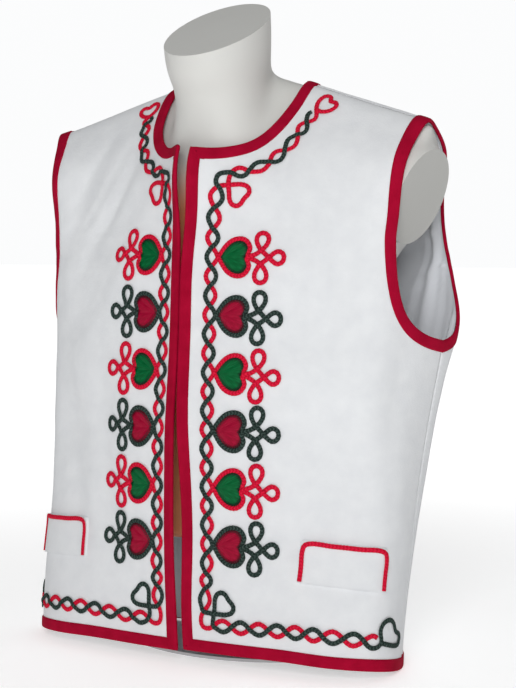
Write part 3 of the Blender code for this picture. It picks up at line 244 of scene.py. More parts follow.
def spline_weights(knots, places):
    """Rows of weights that carry values at the knots to a smooth curve at the places."""
    knots, places = np.array(knots, float), np.array(places, float)
    steps = np.diff(knots)
    count = len(knots)
    left, right = np.eye(count), np.zeros((count, count))
    for i in range(1, count - 1):
        left[i, i - 1:i + 2] = (steps[i - 1] / 6, (steps[i - 1] + steps[i]) / 3, steps[i] / 6)
        right[i, i - 1:i + 2] = (1 / steps[i - 1], -1 / steps[i - 1] - 1 / steps[i], 1 / steps[i])
    bend = np.linalg.solve(left, right)
    at = np.clip(np.searchsorted(knots, places) - 1, 0, count - 2)
    high = (places - knots[at]) / steps[at]
    low = 1.0 - high
    weights = (low ** 3 - low)[:, None] * bend[at] + (high ** 3 - high)[:, None] * bend[at + 1]
    weights *= (steps[at] ** 2 / 6)[:, None]
    rows = np.arange(len(places))
    weights[rows, at] += low
    weights[rows, at + 1] += high
    return weights


RIGHT_HEM_DROP = 2.0
HEM_DIP = np.array((0.6, 2.6, 6.0, 9.0, 4.0))


def section_net(side):
    """The control points of all sections, with one ghost section past the shoulder seam."""
    rings = []
    for front, flank, back in zip(FRONT_SECTIONS, SIDE_SECTIONS, BACK_SECTIONS):
        ring = [(x, -y, front[1] - front[2] * x) for x, y in zip(FRONT_ACROSS, front[3:8])]
        ring.append((front[8], -front[9], front[1] - front[2] * front[8]))
        ring.append((flank[1], flank[2], flank[0]))
        ring.append((back[8], back[9], back[1] - back[2] * back[8]))
        ring += [(x, y, back[1] - back[2] * x) for x, y in zip((170.0, 125.0, 80.0, 40.0, 0.0), back[7:2:-1])]
        rings.append(ring)
    rings.append(list(reversed(rings[-2])))
    net = np.array(rings, float)
    net[0, 3:8, 2] -= HEM_DIP
    net[1, 3:8, 2] -= HEM_DIP * 0.5
    if side < 0:
        net[:2, :len(FRONT_ACROSS), 2] -= RIGHT_HEM_DROP
    net[:, :, 2] += HEM_HEIGHT
    return net


def troughs(across, up, folds):
    """The depth of soft troughs at a grid of places."""
    depth = np.zeros(across.shape)
    for _, a0, u0, a1, u1, deep, half in folds:
        run = np.array((a1 - a0, u1 - u0))
        share = np.clip(((across - a0) * run[0] + (up - u0) * run[1]) / (run @ run), 0.0, 1.0)
        away = np.hypot(across - a0 - share * run[0], up - u0 - share * run[1]) / half
        depth += deep * np.exp(-away ** 2) * np.sin(math.pi * (0.15 + 0.7 * share))
    return depth


def gentle_waves(across, up, seed, spacing, height):
    """Smooth uneven waves from random values at even spacing."""
    rows = np.arange(LOW_UP - spacing, HIGH_UP + 2 * spacing, spacing)
    columns = np.arange(LOW_ACROSS - spacing, HIGH_ACROSS + 2 * spacing, spacing)
    values = np.random.default_rng(seed).normal(0.0, height, (len(rows), len(columns)))
    return spline_weights(rows, up[:, 0]) @ values @ spline_weights(columns, across[0]).T


class Cloth:
    """Half of the vest's outer face, looked up by (across, up), for the wearer's left (1) or right (-1)."""

    def __init__(self, side):
        self.side = side
        columns = np.arange(LOW_ACROSS, HIGH_ACROSS + GRID, GRID)
        rows = np.arange(LOW_UP, HIGH_UP + GRID, GRID)
        weights_across = spline_weights(ALL_ACROSS, columns)
        weights_up = spline_weights([row[0] for row in FRONT_SECTIONS] + [RIDGE_UP + 35.0], rows)
        base = np.einsum("ui,iac,ba->ubc", weights_up, section_net(side), weights_across)
        normals = unit(np.cross(np.gradient(base, axis=1), np.gradient(base, axis=0)))
        across, up = np.meshgrid(columns, rows)
        push = self.edge_value(2 if side > 0 else 4, rows)[:, None] * np.maximum(0.0, 1.0 - across / PUSH_REACH) ** 2
        moved = np.where(across > SIDE_ACROSS, 0.0, push)
        moved -= np.where(across > SIDE_ACROSS, 0.0, troughs(across, up, [f for f in FOLDS if f[0] == side]))
        moved -= troughs(across, up, [crease for crease in CREASES if crease[0] in (side, 0)])
        inner = np.clip((across - 20.0) / 40.0, 0.0, 1.0) * np.clip((up + 4.0) / 60.0, 0.2, 1.0)
        mirror_seed = 0 if side > 0 else 1
        waves = gentle_waves(across, up, 11 + mirror_seed, 46.0, 0.45) + gentle_waves(across, up, 21, 17.0, 0.10)
        centred = np.clip((BACK_CENTRE - across) / 40.0, 0.0, 1.0)
        seam = np.clip(np.abs(across - SIDE_ACROSS) / 30.0, 0.0, 1.0)
        moved += waves * inner * centred * seam
        points = base + normals * moved[:, :, None]
        if side < 0:
            points = points * np.array((-1.0, 1.0, 1.0))
        self.points = points
        self.along = np.gradient(points, GRID, axis=1)
        self.rise = np.gradient(points, GRID, axis=0)
        self.normals = unit(np.cross(self.along, self.rise)) * side

    @staticmethod
    def edge_value(column, ups):
        ups = np.minimum(np.atleast_1d(ups), EDGE_SECTIONS[-1][0])
        knots = [row[0] for row in EDGE_SECTIONS]
        return spline_weights(knots, ups) @ np.array([row[column] for row in EDGE_SECTIONS])

    def edge_across(self, ups):
        return self.edge_value(1 if self.side > 0 else 3, ups) + BINDING_FELT

    def look(self, places):
        """Points, normals and the two cloth directions at places on the cloth."""
        places = np.atleast_2d(np.array(places, float))
        column = np.clip((places[:, 0] - LOW_ACROSS) / GRID, 0, self.points.shape[1] - 1.001)
        row = np.clip((places[:, 1] - LOW_UP) / GRID, 0, self.points.shape[0] - 1.001)
        i, j = row.astype(int), column.astype(int)
        u, v = (row - i)[:, None], (column - j)[:, None]

        def blended(grid):
            low = grid[i, j] * (1 - v) + grid[i, j + 1] * v
            high = grid[i + 1, j] * (1 - v) + grid[i + 1, j + 1] * v
            return low * (1 - u) + high * u

        return blended(self.points), unit(blended(self.normals)), blended(self.along), blended(self.rise)

    def steps(self, places, directions):
        """The (across, up) steps that move each place one millimetre in its direction over the cloth."""
        _, _, along, rise = self.look(places)
        aa, ar, rr = (along * along).sum(1), (along * rise).sum(1), (rise * rise).sum(1)
        da, dr = (directions * along).sum(1), (directions * rise).sum(1)
        spread = aa * rr - ar * ar
        return np.stack(((rr * da - ar * dr) / spread, (aa * dr - ar * da) / spread), axis=1)


def smooth_line(places, spacing):
    """Places at an even spacing on a smooth line through the given ones."""
    places = np.array(places, float)
    lengths = np.concatenate(([0.0], np.cumsum(np.linalg.norm(np.diff(places, axis=0), axis=1))))
    count = max(2, int(round(lengths[-1] / spacing)) + 1)
    return spline_weights(lengths, np.linspace(0.0, lengths[-1], count)) @ places


def add_piece(name, points, faces, finish, uv=None):
    """A smooth shaded mesh piece from points in millimetres."""
    mesh = bpy.data.meshes.new(name)
    mesh.from_pydata((np.asarray(points) * 0.001).tolist(), [], faces)
    if uv is not None:
        layer = mesh.uv_layers.new(name="uv")
        corners = np.empty(len(mesh.loops), dtype=np.int32)
        mesh.loops.foreach_get("vertex_index", corners)
        layer.data.foreach_set("uv", np.asarray(uv, dtype=np.float32)[corners].ravel())
    mesh.materials.append(finish)
    mesh.shade_smooth()
    piece = bpy.data.objects.new(name, mesh)
    bpy.context.scene.collection.objects.link(piece)
    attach(piece, "root")
    return piece


def filled(outline, spacing):
    """Places and triangles that fill an outline with an even lattice."""
    ring = np.array(outline)
    step = np.roll(ring, -1, axis=0) - ring
    low, high = ring.min(axis=0), ring.max(axis=0)
    rows = np.arange(low[1] + spacing / 2, high[1], spacing * 0.866)
    lattice = [(a + (spacing / 2 if k % 2 else 0.0), up)
               for k, up in enumerate(rows) for a in np.arange(low[0], high[0], spacing)]
    lattice = np.array(lattice)
    inside = np.zeros(len(lattice), bool)
    near = np.zeros(len(lattice), bool)
    for start, run in zip(ring, step):
        rel = lattice - start
        crosses = (start[1] > lattice[:, 1]) != (start[1] + run[1] > lattice[:, 1])
        if run[1] != 0.0:
            inside ^= crosses & (lattice[:, 0] < start[0] + rel[:, 1] * run[0] / run[1])
        share = np.clip(rel @ run / max(run @ run, 1e-9), 0.0, 1.0)
        near |= np.hypot(*(rel - share[:, None] * run).T) < spacing * 0.5
    places = np.concatenate((ring, lattice[inside & ~near]))
    count = len(ring)
    edges = [(i, (i + 1) % count) for i in range(count)]
    result = delaunay_2d_cdt([tuple(place) for place in places], edges, [], 1, 1e-5)
    kept = [origin[0] for origin in result[3]]
    return places, [tuple(kept[v] for v in face) for face in result[2]]


# Felt cloth. Dense white wool felt, fulled until no weave shows: a dull, slightly cool white with a short nap
# that catches the light at the edges, faint mottling where the wool lies thicker, and tiny loose fibres.
def felt_material(name, colour, dark, nap, pits):
    made, tree, shader = plain_material(name, colour, 0.92)
    shader.inputs["Sheen Weight"].default_value = nap
    shader.inputs["Sheen Roughness"].default_value = 0.55
    shader.inputs["Specular IOR Level"].default_value = 0.08
    where = tree.nodes.new("ShaderNodeTexCoord")
    mottle = tree.nodes.new("ShaderNodeTexNoise")
    mottle.inputs["Scale"].default_value = 55.0
    mottle.inputs["Detail"].default_value = 6.0
    ramp = tree.nodes.new("ShaderNodeValToRGB")
    ramp.color_ramp.elements[0].position = 0.30
    ramp.color_ramp.elements[0].color = dark + (1.0,)
    ramp.color_ramp.elements[1].position = 0.68
    ramp.color_ramp.elements[1].color = colour + (1.0,)
    fibres = tree.nodes.new("ShaderNodeTexNoise")
    fibres.inputs["Scale"].default_value = 900.0
    fibres.inputs["Detail"].default_value = 4.0
    tufts = tree.nodes.new("ShaderNodeTexNoise")
    tufts.inputs["Scale"].default_value = 210.0
    tufts.inputs["Detail"].default_value = 3.0
    tufts.inputs["Distortion"].default_value = 0.8
    fine = tree.nodes.new("ShaderNodeBump")
    fine.inputs["Strength"].default_value = pits
    fine.inputs["Distance"].default_value = 0.0004
    coarse = tree.nodes.new("ShaderNodeBump")
    coarse.inputs["Strength"].default_value = pits * 0.7
    coarse.inputs["Distance"].default_value = 0.0010
    for texture in (mottle, fibres, tufts):
        tree.links.new(where.outputs["Object"], texture.inputs["Vector"])
    tree.links.new(mottle.outputs["Fac"], ramp.inputs["Fac"])
    tree.links.new(ramp.outputs["Color"], shader.inputs["Base Color"])
    tree.links.new(fibres.outputs["Fac"], fine.inputs["Height"])
    tree.links.new(tufts.outputs["Fac"], coarse.inputs["Height"])
    tree.links.new(fine.outputs["Normal"], coarse.inputs["Normal"])
    tree.links.new(coarse.outputs["Normal"], shader.inputs["Normal"])
    return made


white_felt = felt_material("white_felt", (0.80, 0.815, 0.83), (0.755, 0.77, 0.79), 0.10, 0.30)

# The two fronts and the back. Each is cut in one piece and joined at the sides and shoulders with a pressed
# seam that sinks a little. The fronts hang edge to edge from the shoulders, and the back is plain.
FRONT_NECK = {
    1: ((21.0, 533.0), (37.0, 540.5), (53.5, 552.5), (68.0, 574.5), (76.5, 599.0), (82.5, 626.5), (84.5, RIDGE_UP)),
    -1: ((20.0, 537.0), (37.0, 541.0), (54.5, 552.5), (69.0, 574.0), (75.5, 599.0), (77.5, 627.0), (75.5, RIDGE_UP)),
}
BACK_NECK = {
    1: ((BACK_CENTRE, 562.0), (536.0, 567.8), (514.0, 577.0), (494.0, 592.0), (481.0, 618.0), (476.0, RIDGE_UP)),
    -1: ((BACK_CENTRE, 562.0), (538.0, 567.3), (518.0, 576.5), (500.0, 592.0), (489.0, 618.0), (484.5, RIDGE_UP)),
}
SHOULDER_END = 238.0
FRONT_ARMHOLE = ((SHOULDER_END, RIDGE_UP), (232.5, 631.0), (226.0, 605.0), (223.0, 578.0), (221.5, 545.0),
                 (220.5, 496.0), (220.5, 416.0), (224.0, 377.0), (234.0, 349.5), (253.0, 332.0),
                 (SIDE_ACROSS, 324.0))
BACK_SHOULDER_END = 322.0
BACK_ARMHOLE = ((BACK_SHOULDER_END, RIDGE_UP), (328.0, 616.0), (334.0, 577.0), (338.0, 520.0), (338.0, 455.0),
                (337.0, 400.0), (333.0, 371.0), (322.0, 347.0), (304.0, 331.0), (SIDE_ACROSS, 324.0))
LATTICE = 4.2
SEAM_SINK = 0.9


def straight(start, end, spacing):
    start, end = np.array(start, float), np.array(end, float)
    count = max(1, int(round(np.linalg.norm(end - start) / spacing)))
    return start + (end - start) * (np.arange(count + 1) / count)[:, None]


def joined(*lines):
    """One closed outline from lines that follow one another."""
    return np.concatenate([line[:-1] for line in lines])


def front_outline(cloth):
    ups = np.arange(0.0, 529.1, 529.0 / 128)
    centre = np.stack((cloth.edge_across(ups), ups), axis=1)
    hem = straight((SIDE_ACROSS, 0.0), centre[0], LATTICE)
    neck = smooth_line([tuple(centre[-1])] + list(FRONT_NECK[cloth.side]), LATTICE)
    shoulder = straight(neck[-1], (SHOULDER_END, RIDGE_UP), LATTICE)
    arm = smooth_line(FRONT_ARMHOLE, LATTICE)
    return hem, centre, neck, shoulder, arm, straight(arm[-1], (SIDE_ACROSS, 0.0), LATTICE)


def seam_dip(places):
    side = np.abs(places[:, 0] - SIDE_ACROSS)
    top = np.abs(places[:, 1] - RIDGE_UP)
    return SEAM_SINK * (np.exp(-(side / 2.6) ** 2) + np.exp(-(top / 2.6) ** 2))


def faced_out(points, faces, normals):
    """The faces, turned so that they look the way the normals do."""
    points = np.asarray(points)
    a, b, c = (points[[face[k] for face in faces]] for k in range(3))
    out = np.cross(b - a, c - a)
    wanted = np.asarray(normals)[[face[0] for face in faces]]
    return [face if ok else face[::-1] for face, ok in zip(faces, (out * wanted).sum(1) > 0)]


def thicken(piece, thickness):
    wall = piece.modifiers.new("thickness", "SOLIDIFY")
    wall.thickness = thickness * 0.001
    wall.offset = -1.0
    wall.use_even_offset = True


left_cloth, right_cloth = Cloth(1), Cloth(-1)
for label, cloth in (("left", left_cloth), ("right", right_cloth)):
    places, faces = filled(joined(*front_outline(cloth)), LATTICE)
    points, normals, _, _ = cloth.look(places)
    points = points - normals * seam_dip(places)[:, None]
    front = add_piece("felt_front_" + label, points, faced_out(points, faces, normals), white_felt)
    thicken(front, FELT)
    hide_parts("front_" + label)

hem_line = straight((SIDE_ACROSS, 0.0), (BACK_CENTRE, 0.0), LATTICE)
back_necks = {side: smooth_line(BACK_NECK[side], LATTICE) for side in (1, -1)}
back_arm = smooth_line(BACK_ARMHOLE, LATTICE)
arm_foot = BACK_ARMHOLE[-1]
back_halves = {}
for side in (1, -1):
    back_halves[side] = filled(joined(
        hem_line, straight((BACK_CENTRE, 0.0), BACK_NECK[side][0], LATTICE), back_necks[side],
        straight(BACK_NECK[side][-1], (BACK_SHOULDER_END, RIDGE_UP), LATTICE), back_arm,
        straight(arm_foot, (SIDE_ACROSS, 0.0), LATTICE)), LATTICE)


def whole_back(offset_at):
    """Both halves of a back sheet, welded down the centre, off the cloth's face by the given offsets."""
    halves = []
    for cloth in (left_cloth, right_cloth):
        places, triangles = back_halves[cloth.side]
        points, normals, _, _ = cloth.look(places)
        points = points + normals * offset_at(places)[:, None]
        middle = np.nonzero(np.abs(places[:, 0] - BACK_CENTRE) < 0.01)[0]
        middle = middle[np.argsort(places[middle, 1])]
        halves.append((points, faced_out(points, triangles, normals), middle))
    left, right = halves
    joint = (left[0][left[2]] + right[0][right[2]]) / 2
    joint[:, 0] = 0.0
    left[0][left[2]] = joint
    number = np.full(len(right[0]), -1)
    number[right[2]] = left[2]
    kept = number < 0
    number[kept] = len(left[0]) + np.arange(kept.sum())
    points = np.concatenate((left[0], right[0][kept]))
    return points, left[1] + [tuple(int(number[v]) for v in face) for face in right[1]]


back_points, back_faces = whole_back(lambda places: -seam_dip(places))
felt_back = add_piece("felt_back", back_points, back_faces, white_felt)
thicken(felt_back, FELT)
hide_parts("back")

# The back's lining. Thin white plain-woven cotton hangs loose inside the back: it shows through the armholes
# and behind the neck, falls in narrow upright pleats from the shoulders and is caught under the bindings.
LINING_IN = 3.2


def lining_material():
    made, tree, shader = plain_material("lining_weave", (0.74, 0.76, 0.80), 0.75)
    shader.inputs["Sheen Weight"].default_value = 0.1
    where = tree.nodes.new("ShaderNodeTexCoord")
    threads = tree.nodes.new("ShaderNodeTexWave")
    threads.inputs["Scale"].default_value = 420.0
    threads.inputs["Distortion"].default_value = 1.2
    threads.bands_direction = "DIAGONAL"
    rough = tree.nodes.new("ShaderNodeTexNoise")
    rough.inputs["Scale"].default_value = 300.0
    mix = tree.nodes.new("ShaderNodeMath")
    mix.operation = "MULTIPLY"
    bump = tree.nodes.new("ShaderNodeBump")
    bump.inputs["Strength"].default_value = 0.25
    bump.inputs["Distance"].default_value = 0.0004
    for texture in (threads, rough):
        tree.links.new(where.outputs["Object"], texture.inputs["Vector"])
    tree.links.new(threads.outputs["Fac"], mix.inputs[0])
    tree.links.new(rough.outputs["Fac"], mix.inputs[1])
    tree.links.new(mix.outputs["Value"], bump.inputs["Height"])
    tree.links.new(bump.outputs["Normal"], shader.inputs["Normal"])
    return made


def lining_pleats(places):
    """Upright wrinkles, deepest near the armhole, that lean and fade unevenly."""
    across, up = places[:, 0], places[:, 1]
    lean = across + 0.10 * (up - 420.0) + 5.0 * np.sin(up / 61.0) + 2.0 * np.sin(up / 23.0 + 1.3)
    strength = 0.55 + 0.60 * np.exp(-((across - 352.0) / 34.0) ** 2)
    strength *= 0.55 + 0.45 * np.sin(up / 47.0 + across / 31.0) ** 2
    folds = np.maximum(0.0, np.sin(lean / 2.5)) ** 1.5 * 1.9 + np.maximum(0.0, np.sin(lean / 7.1 + 0.8)) ** 2 * 4.8
    slant = (up - 400.0) * 0.8 + (across - 340.0) * 0.6
    folds = folds + 3.2 * np.maximum(0.0, np.sin(slant / 9.0)) ** 3 * np.exp(-((up - 440.0) / 70.0) ** 2)
    edge = np.clip((up - 8.0) / 60.0, 0.0, 1.0) * np.clip((across - SIDE_ACROSS - 4.0) / 18.0, 0.0, 1.0)
    apart = np.linalg.norm(places[:, None] - back_arm[None], axis=2).min(axis=1)
    return folds * strength * edge * np.clip((apart - 3.0) / 5.0, 0.0, 1.0)


lining_white = lining_material()
lining_points, lining_faces = whole_back(lambda places: -LINING_IN - lining_pleats(places))
lining = add_piece("lining_sheet", lining_points, lining_faces, lining_white)
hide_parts("lining_back")

# Bindings. Strips of crimson felt, folded over every raw edge and sewn through, mitred at the hem corners.
# They stand a little proud of the white felt, soft at the inner edge and round over the cloth's edge.
crimson_felt = felt_material("crimson_felt", (0.40, 0.0025, 0.029), (0.32, 0.001, 0.021), 0.0, 0.30)
# How the strip lies: (distance in from the cloth's edge, height over the cloth's face)
BINDING_SECTION = (
    (11.6, -0.3), (11.6, 0.50), (11.3, 1.05), (10.4, 1.38), (8.4, 1.50), (6.0, 1.55), (3.4, 1.55), (1.0, 1.45),
    (-0.4, 1.10), (-1.1, 0.20), (-1.3, -0.80), (-1.1, -1.90), (-0.4, -2.55), (1.0, -2.85), (3.0, -2.85),
    (3.8, -2.70), (4.0, -2.00),
)


def binding(name, cloth, places, start_in, end_in, node, inside):
    """A folded strip along an edge; start_in and end_in are the steps in at its two ends, if they are fixed."""
    places = np.array(places, float)
    edge, normals, along, rise = cloth.look(places)
    run = unit(np.diff(edge, axis=0))
    flow = np.cross(normals[:-1], run) * inside
    ebb = np.cross(normals[1:], run) * inside
    inward = np.empty_like(edge)
    inward[0], inward[-1] = flow[0], ebb[-1]
    before, after = unit(ebb[:-1]), unit(flow[1:])
    inward[1:-1] = (before + after) / (1.0 + (before * after).sum(1, keepdims=True))
    steps = cloth.steps(places, inward)
    for end, fixed in ((0, start_in), (-1, end_in)):
        if fixed is not None:
            steps[end] = np.array(fixed) / BINDING_WIDTH
            inward[end] = unit(steps[end][0] * along[end] + steps[end][1] * rise[end])
    puff = 1.0 + 0.05 * np.sin(np.arange(len(places)) * 0.9) + 0.04 * np.sin(np.arange(len(places)) * 0.37 + 1.0)
    rows = []
    for distance, height in BINDING_SECTION:
        if distance > 0:
            points, up_here, _, _ = cloth.look(places + steps * distance)
            lift = height * puff if height > 1.0 else height * np.ones(len(places))
            rows.append(points + up_here * lift[:, None])
        else:
            rows.append(edge + inward * distance + normals * height)
    rings = np.stack(rows, axis=1)
    size = len(BINDING_SECTION)
    faces = [tuple(range(size)), tuple(reversed(range((len(places) - 1) * size, len(places) * size)))]
    for i in range(len(places) - 1):
        for k in range(size):
            a, b = i * size + k, i * size + (k + 1) % size
            faces.append((a, a + size, b + size, b))
    if inside * cloth.side < 0:
        faces = [face[::-1] for face in faces]
    strip = add_piece(name, rings.reshape(-1, 3), faces, crimson_felt)
    strip.data.set_sharp_from_angle(angle=math.radians(50))
    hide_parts(node)
    return strip


def with_corners(line, spacing):
    return straight(line[0], line[1], spacing)


vest_parts = {"left": [], "right": [], "back": []}
ONE_UP, ONE_IN = (0.0, BINDING_WIDTH), (BINDING_WIDTH, 0.0)
for label, cloth in (("left", left_cloth), ("right", right_cloth)):
    hem, centre, neck, shoulder, arm, side_seam = front_outline(cloth)
    corner = np.array((BINDING_WIDTH, BINDING_WIDTH))
    top = BINDING_WIDTH * np.array((1.03, -0.80))
    turned = -cloth.side
    vest_parts[label] += [
        binding("binding_strip_hem_" + label, cloth, hem, ONE_UP, corner, "binding_hem_" + label, turned),
        binding("binding_strip_front_" + label, cloth, centre, corner, top, "binding_front_" + label, turned),
        binding("binding_strip_neck_" + label, cloth, neck, top, ONE_IN, "binding_neck_" + label, turned),
        binding("binding_strip_armhole_" + label, cloth, arm, (-BINDING_WIDTH, 0.0), (0.0, -BINDING_WIDTH),
                "binding_armhole_front_" + label, turned),
    ]
    arm_back = binding("binding_strip_armhole_back_" + label, cloth, back_arm, ONE_IN, (0.0, -BINDING_WIDTH),
                       "binding_armhole_back_" + label, cloth.side)
    vest_parts["back"].append(arm_back)


def whole_strip(name, lines, starts, node, inside):
    """A strip across the back: the two sides' halves, each from its own end to the centre, as two pieces that meet at
    the centre.
    """
    first = binding(name, left_cloth, lines[1], *starts, node, inside)
    second = binding(name + "_half", right_cloth, lines[-1], *starts, node, -inside)
    for piece in (first, second):
        mesh = piece.data
        points = np.empty(len(mesh.vertices) * 3)
        mesh.vertices.foreach_get("co", points)
        points[::3][np.abs(points[::3]) < 0.00005] = 0.0
        mesh.vertices.foreach_set("co", points)
    return [first, second]


vest_parts["back"] += whole_strip("binding_strip_hem_back", {1: hem_line, -1: hem_line}, (ONE_UP, ONE_UP),
                                  "binding_hem_back", 1)
vest_parts["back"] += whole_strip("binding_strip_neck_back", back_necks, ((0.0, -BINDING_WIDTH),
                                  (-BINDING_WIDTH, 0.0)), "binding_neck_back", 1)

# The braids. Two plaited wool cords, one red and one dark green, cross again and again beside the hem, the
# front and the neck, green over red. Each leaves the chain at its own hearts, runs round heart and knot and
# comes back, loops into a small heart at a corner and ends in one. They are couched flat on the felt.
CORD_WIDTH = 5.0
CORD_HEIGHT = 2.1
CORD_LIFT = 1.8
CORD_SEAT = 0.15
CORD_STEP = 1.5
PLAIT_PITCH = 3.6
LIFT_REACH = 6.5
CHAIN_SWING = 5.9
NECK_SWING = 4.9
# Where the two braids cross, as (across, up), from the corners outwards and from the hem up
HEM_CROSSINGS = ((41.4, 29.6), (62.0, 29.8), (82.5, 30.3), (102.8, 30.7), (123.0, 31.4), (143.0, 31.6),
                 (162.0, 31.2), (180.5, 30.4), (198.5, 29.0), (216.5, 26.6))
FRONT_UPS = (44.0, 67.6) + tuple(range(84, 464, 20)) + (467.5, 493.2)
NECK_CROSSINGS = {
    1: ((42.6, 513.4), (59.3, 521.4), (77.6, 538.6), (89.8, 557.0), (98.2, 577.6), (103.3, 596.4), (109.4, 613.8)),
    -1: ((43.2, 515.2), (59.3, 522.1), (76.9, 541.4), (89.5, 561.0), (94.6, 579.4), (98.2, 596.6), (98.8, 609.4)),
}
# up, and how far the chain lies higher on the wearer's right; the same for the left
CHAIN_RISE = {
    1: ((0, 0.0), (220, -0.2), (310, -1.4), (370, -1.3), (440, 0.0), (485, 0.0), (515, -1.8), (620, -1.8)),
    -1: ((0, 0.2), (28, 0.0), (42, 1.2), (60, 0.0), (85, -3.2), (110, -3.2), (150, -3.2), (210, -2.0), (330, -0.4), (400, 1.2), (450, 2.0),
         (500, 2.6), (516, 0.0), (620, 0.0)),
}
# the same for how far it lies away from the middle
CHAIN_SHIFT = {
    1: ((0, 0.0), (620, 0.0)),
    -1: ((0, -2.0), (60, -2.0), (100, 0.0), (440, 0.0), (470, -2.0), (500, -3.0), (512, 0.0), (620, 0.0)),
}
RIGHT_HEM_STRETCH = 1.035
# A corner: the loop one braid makes from where it crosses itself, and the other braid's way round outside
LOOP = ((0.0, 0.0), (0.6, 8.6), (1.2, 16.2), (4.0, 20.8), (8.6, 22.4), (13.2, 20.2), (16.8, 15.2),
        (19.8, 12.4), (22.4, 8.0), (21.0, 3.2), (15.4, 0.2), (7.6, -0.4), (0.0, 0.0))
LOW_LOOP = (41.3, 42.4)
LOW_OUTSIDE = ((36.8, 26.5), (32.7, 25.7), (28.5, 27.1), (26.1, 31.5), (26.0, 36.9))
HIGH_LOOP = (41.1, 497.6)
HIGH_OUTSIDE = ((30.0, 495.6), (29.4, 501.7), (31.6, 508.3), (36.5, 512.0))
HIGH_TURN = 0.25
# The heart that ends the hem chain, and the one at the shoulder: turn, length, half height
HEM_HEART = ((216.5, 26.6), (227.0, 24.4), (239.6, 22.8), (250.0, 25.6), (251.0, 31.0), (240.5, 36.0), (236.6, 42.0),
             (227.4, 47.6), (218.6, 44.6), (215.6, 36.8), (216.5, 26.6))
NECK_HEART = {1: (1.10, 21.5, 11.0), -1: (1.45, 18.0, 11.5)}
WAVE_SHARES = (0.25, 0.5, 0.75)
MOTIF_TIP = {1: 7.4, -1: 5.6}
MOTIF_STRETCH = {1: 1.0, -1: 0.95}
MOTIF_WAVES = (3, 6, 9, 12, 15, 18)
MOTIF_TURNS = {1: (-0.03, -0.04, -0.04, -0.05, -0.05, 0.035), -1: (0.0, 0.0, 0.0, 0.0, 0.0, 0.06)}
HEART_HALF = ((4.5, 7.5), (11.5, 15.6), (20.7, 19.6), (28.3, 18.6), (33.4, 13.4), (34.4, 8.0), (32.4, 3.2))
# From the heart's cleft round the far side of the diamond, one loop and half of the outer loop
KNOT_HALF = ((33.4, 0.0), (37.0, -1.7), (42.2, -3.9), (47.2, -7.3), (51.6, -12.6), (54.0, -19.2), (52.2, -24.6), (47.5, -26.6),
             (42.8, -24.6), (41.0, -19.2), (43.2, -12.6), (47.4, -7.2), (51.6, -3.5), (55.7, 0.0), (60.3, 4.3),
             (65.6, 6.7), (70.0, 4.6), (71.6, 0.0))


def braid_material(name, colour, dark, fleck):
    """Plaited wool: slanting strands that meet in a chevron, with a lighter fleck of stray fibre."""
    made, tree, shader = plain_material(name, colour, 0.8)
    shader.inputs["Specular IOR Level"].default_value = 0.12
    where = tree.nodes.new("ShaderNodeUVMap")
    split = tree.nodes.new("ShaderNodeSeparateXYZ")
    tree.links.new(where.outputs["UV"], split.inputs[0])

    def step(operation, first, second):
        node = tree.nodes.new("ShaderNodeMath")
        node.operation = operation
        for socket, value in zip(node.inputs, (first, second)):
            if isinstance(value, float):
                socket.default_value = value
            else:
                tree.links.new(value, socket)
        return node.outputs[0]

    turn = step("MULTIPLY", split.outputs["Y"], 2 * math.pi)
    lean = step("MULTIPLY", step("ABSOLUTE", step("COSINE", turn, 0.0), 0.0), 3.4)
    travel = step("MULTIPLY", split.outputs["X"], 2 * math.pi / PLAIT_PITCH)
    plait = step("SINE", step("ADD", travel, lean), 0.0)
    object_place = tree.nodes.new("ShaderNodeTexCoord")
    stray = tree.nodes.new("ShaderNodeTexNoise")
    stray.inputs["Scale"].default_value = 700.0
    stray.inputs["Detail"].default_value = 3.0
    tree.links.new(object_place.outputs["Object"], stray.inputs["Vector"])
    tone = step("ADD", step("MULTIPLY", plait, 0.22), step("MULTIPLY", stray.outputs["Fac"], 1.0))
    ramp = tree.nodes.new("ShaderNodeValToRGB")
    ramp.color_ramp.elements[0].position = 0.22
    ramp.color_ramp.elements[0].color = dark + (1.0,)
    ramp.color_ramp.elements[1].position = 0.52
    ramp.color_ramp.elements[1].color = colour + (1.0,)
    light = ramp.color_ramp.elements.new(0.80)
    light.color = fleck + (1.0,)
    bump = tree.nodes.new("ShaderNodeBump")
    bump.inputs["Strength"].default_value = 0.6
    bump.inputs["Distance"].default_value = 0.0005
    tree.links.new(tone, ramp.inputs["Fac"])
    tree.links.new(ramp.outputs["Color"], shader.inputs["Base Color"])
    tree.links.new(tone, bump.inputs["Height"])
    tree.links.new(bump.outputs["Normal"], shader.inputs["Normal"])
    return made


def crossings(line, other, own):
    """Lengths along the line at which it crosses the other, with the lengths along the other."""
    starts, runs = line[:-1], np.diff(line, axis=0)
    q, s = other[:-1], np.diff(other, axis=0)
    cross = runs[:, None, 0] * s[None, :, 1] - runs[:, None, 1] * s[None, :, 0]
    cross = np.where(np.abs(cross) < 1e-9, 1e-9, cross)
    gap = q[None] - starts[:, None]
    t = (gap[..., 0] * s[None, :, 1] - gap[..., 1] * s[None, :, 0]) / cross
    u = (gap[..., 0] * runs[:, None, 1] - gap[..., 1] * runs[:, None, 0]) / cross
    hit = (t >= 0) & (t < 1) & (u >= 0) & (u < 1)
    if own:
        first, second = np.indices(hit.shape)
        hit &= second > first + 2
    i, j = np.nonzero(hit)
    lengths = np.concatenate(([0.0], np.cumsum(np.linalg.norm(runs, axis=1))))
    others = np.concatenate(([0.0], np.cumsum(np.linalg.norm(s, axis=1))))
    mine = lengths[i] + t[i, j] * np.diff(lengths)[i]
    theirs = others[j] + u[i, j] * np.diff(others)[j]
    return lengths, mine, theirs


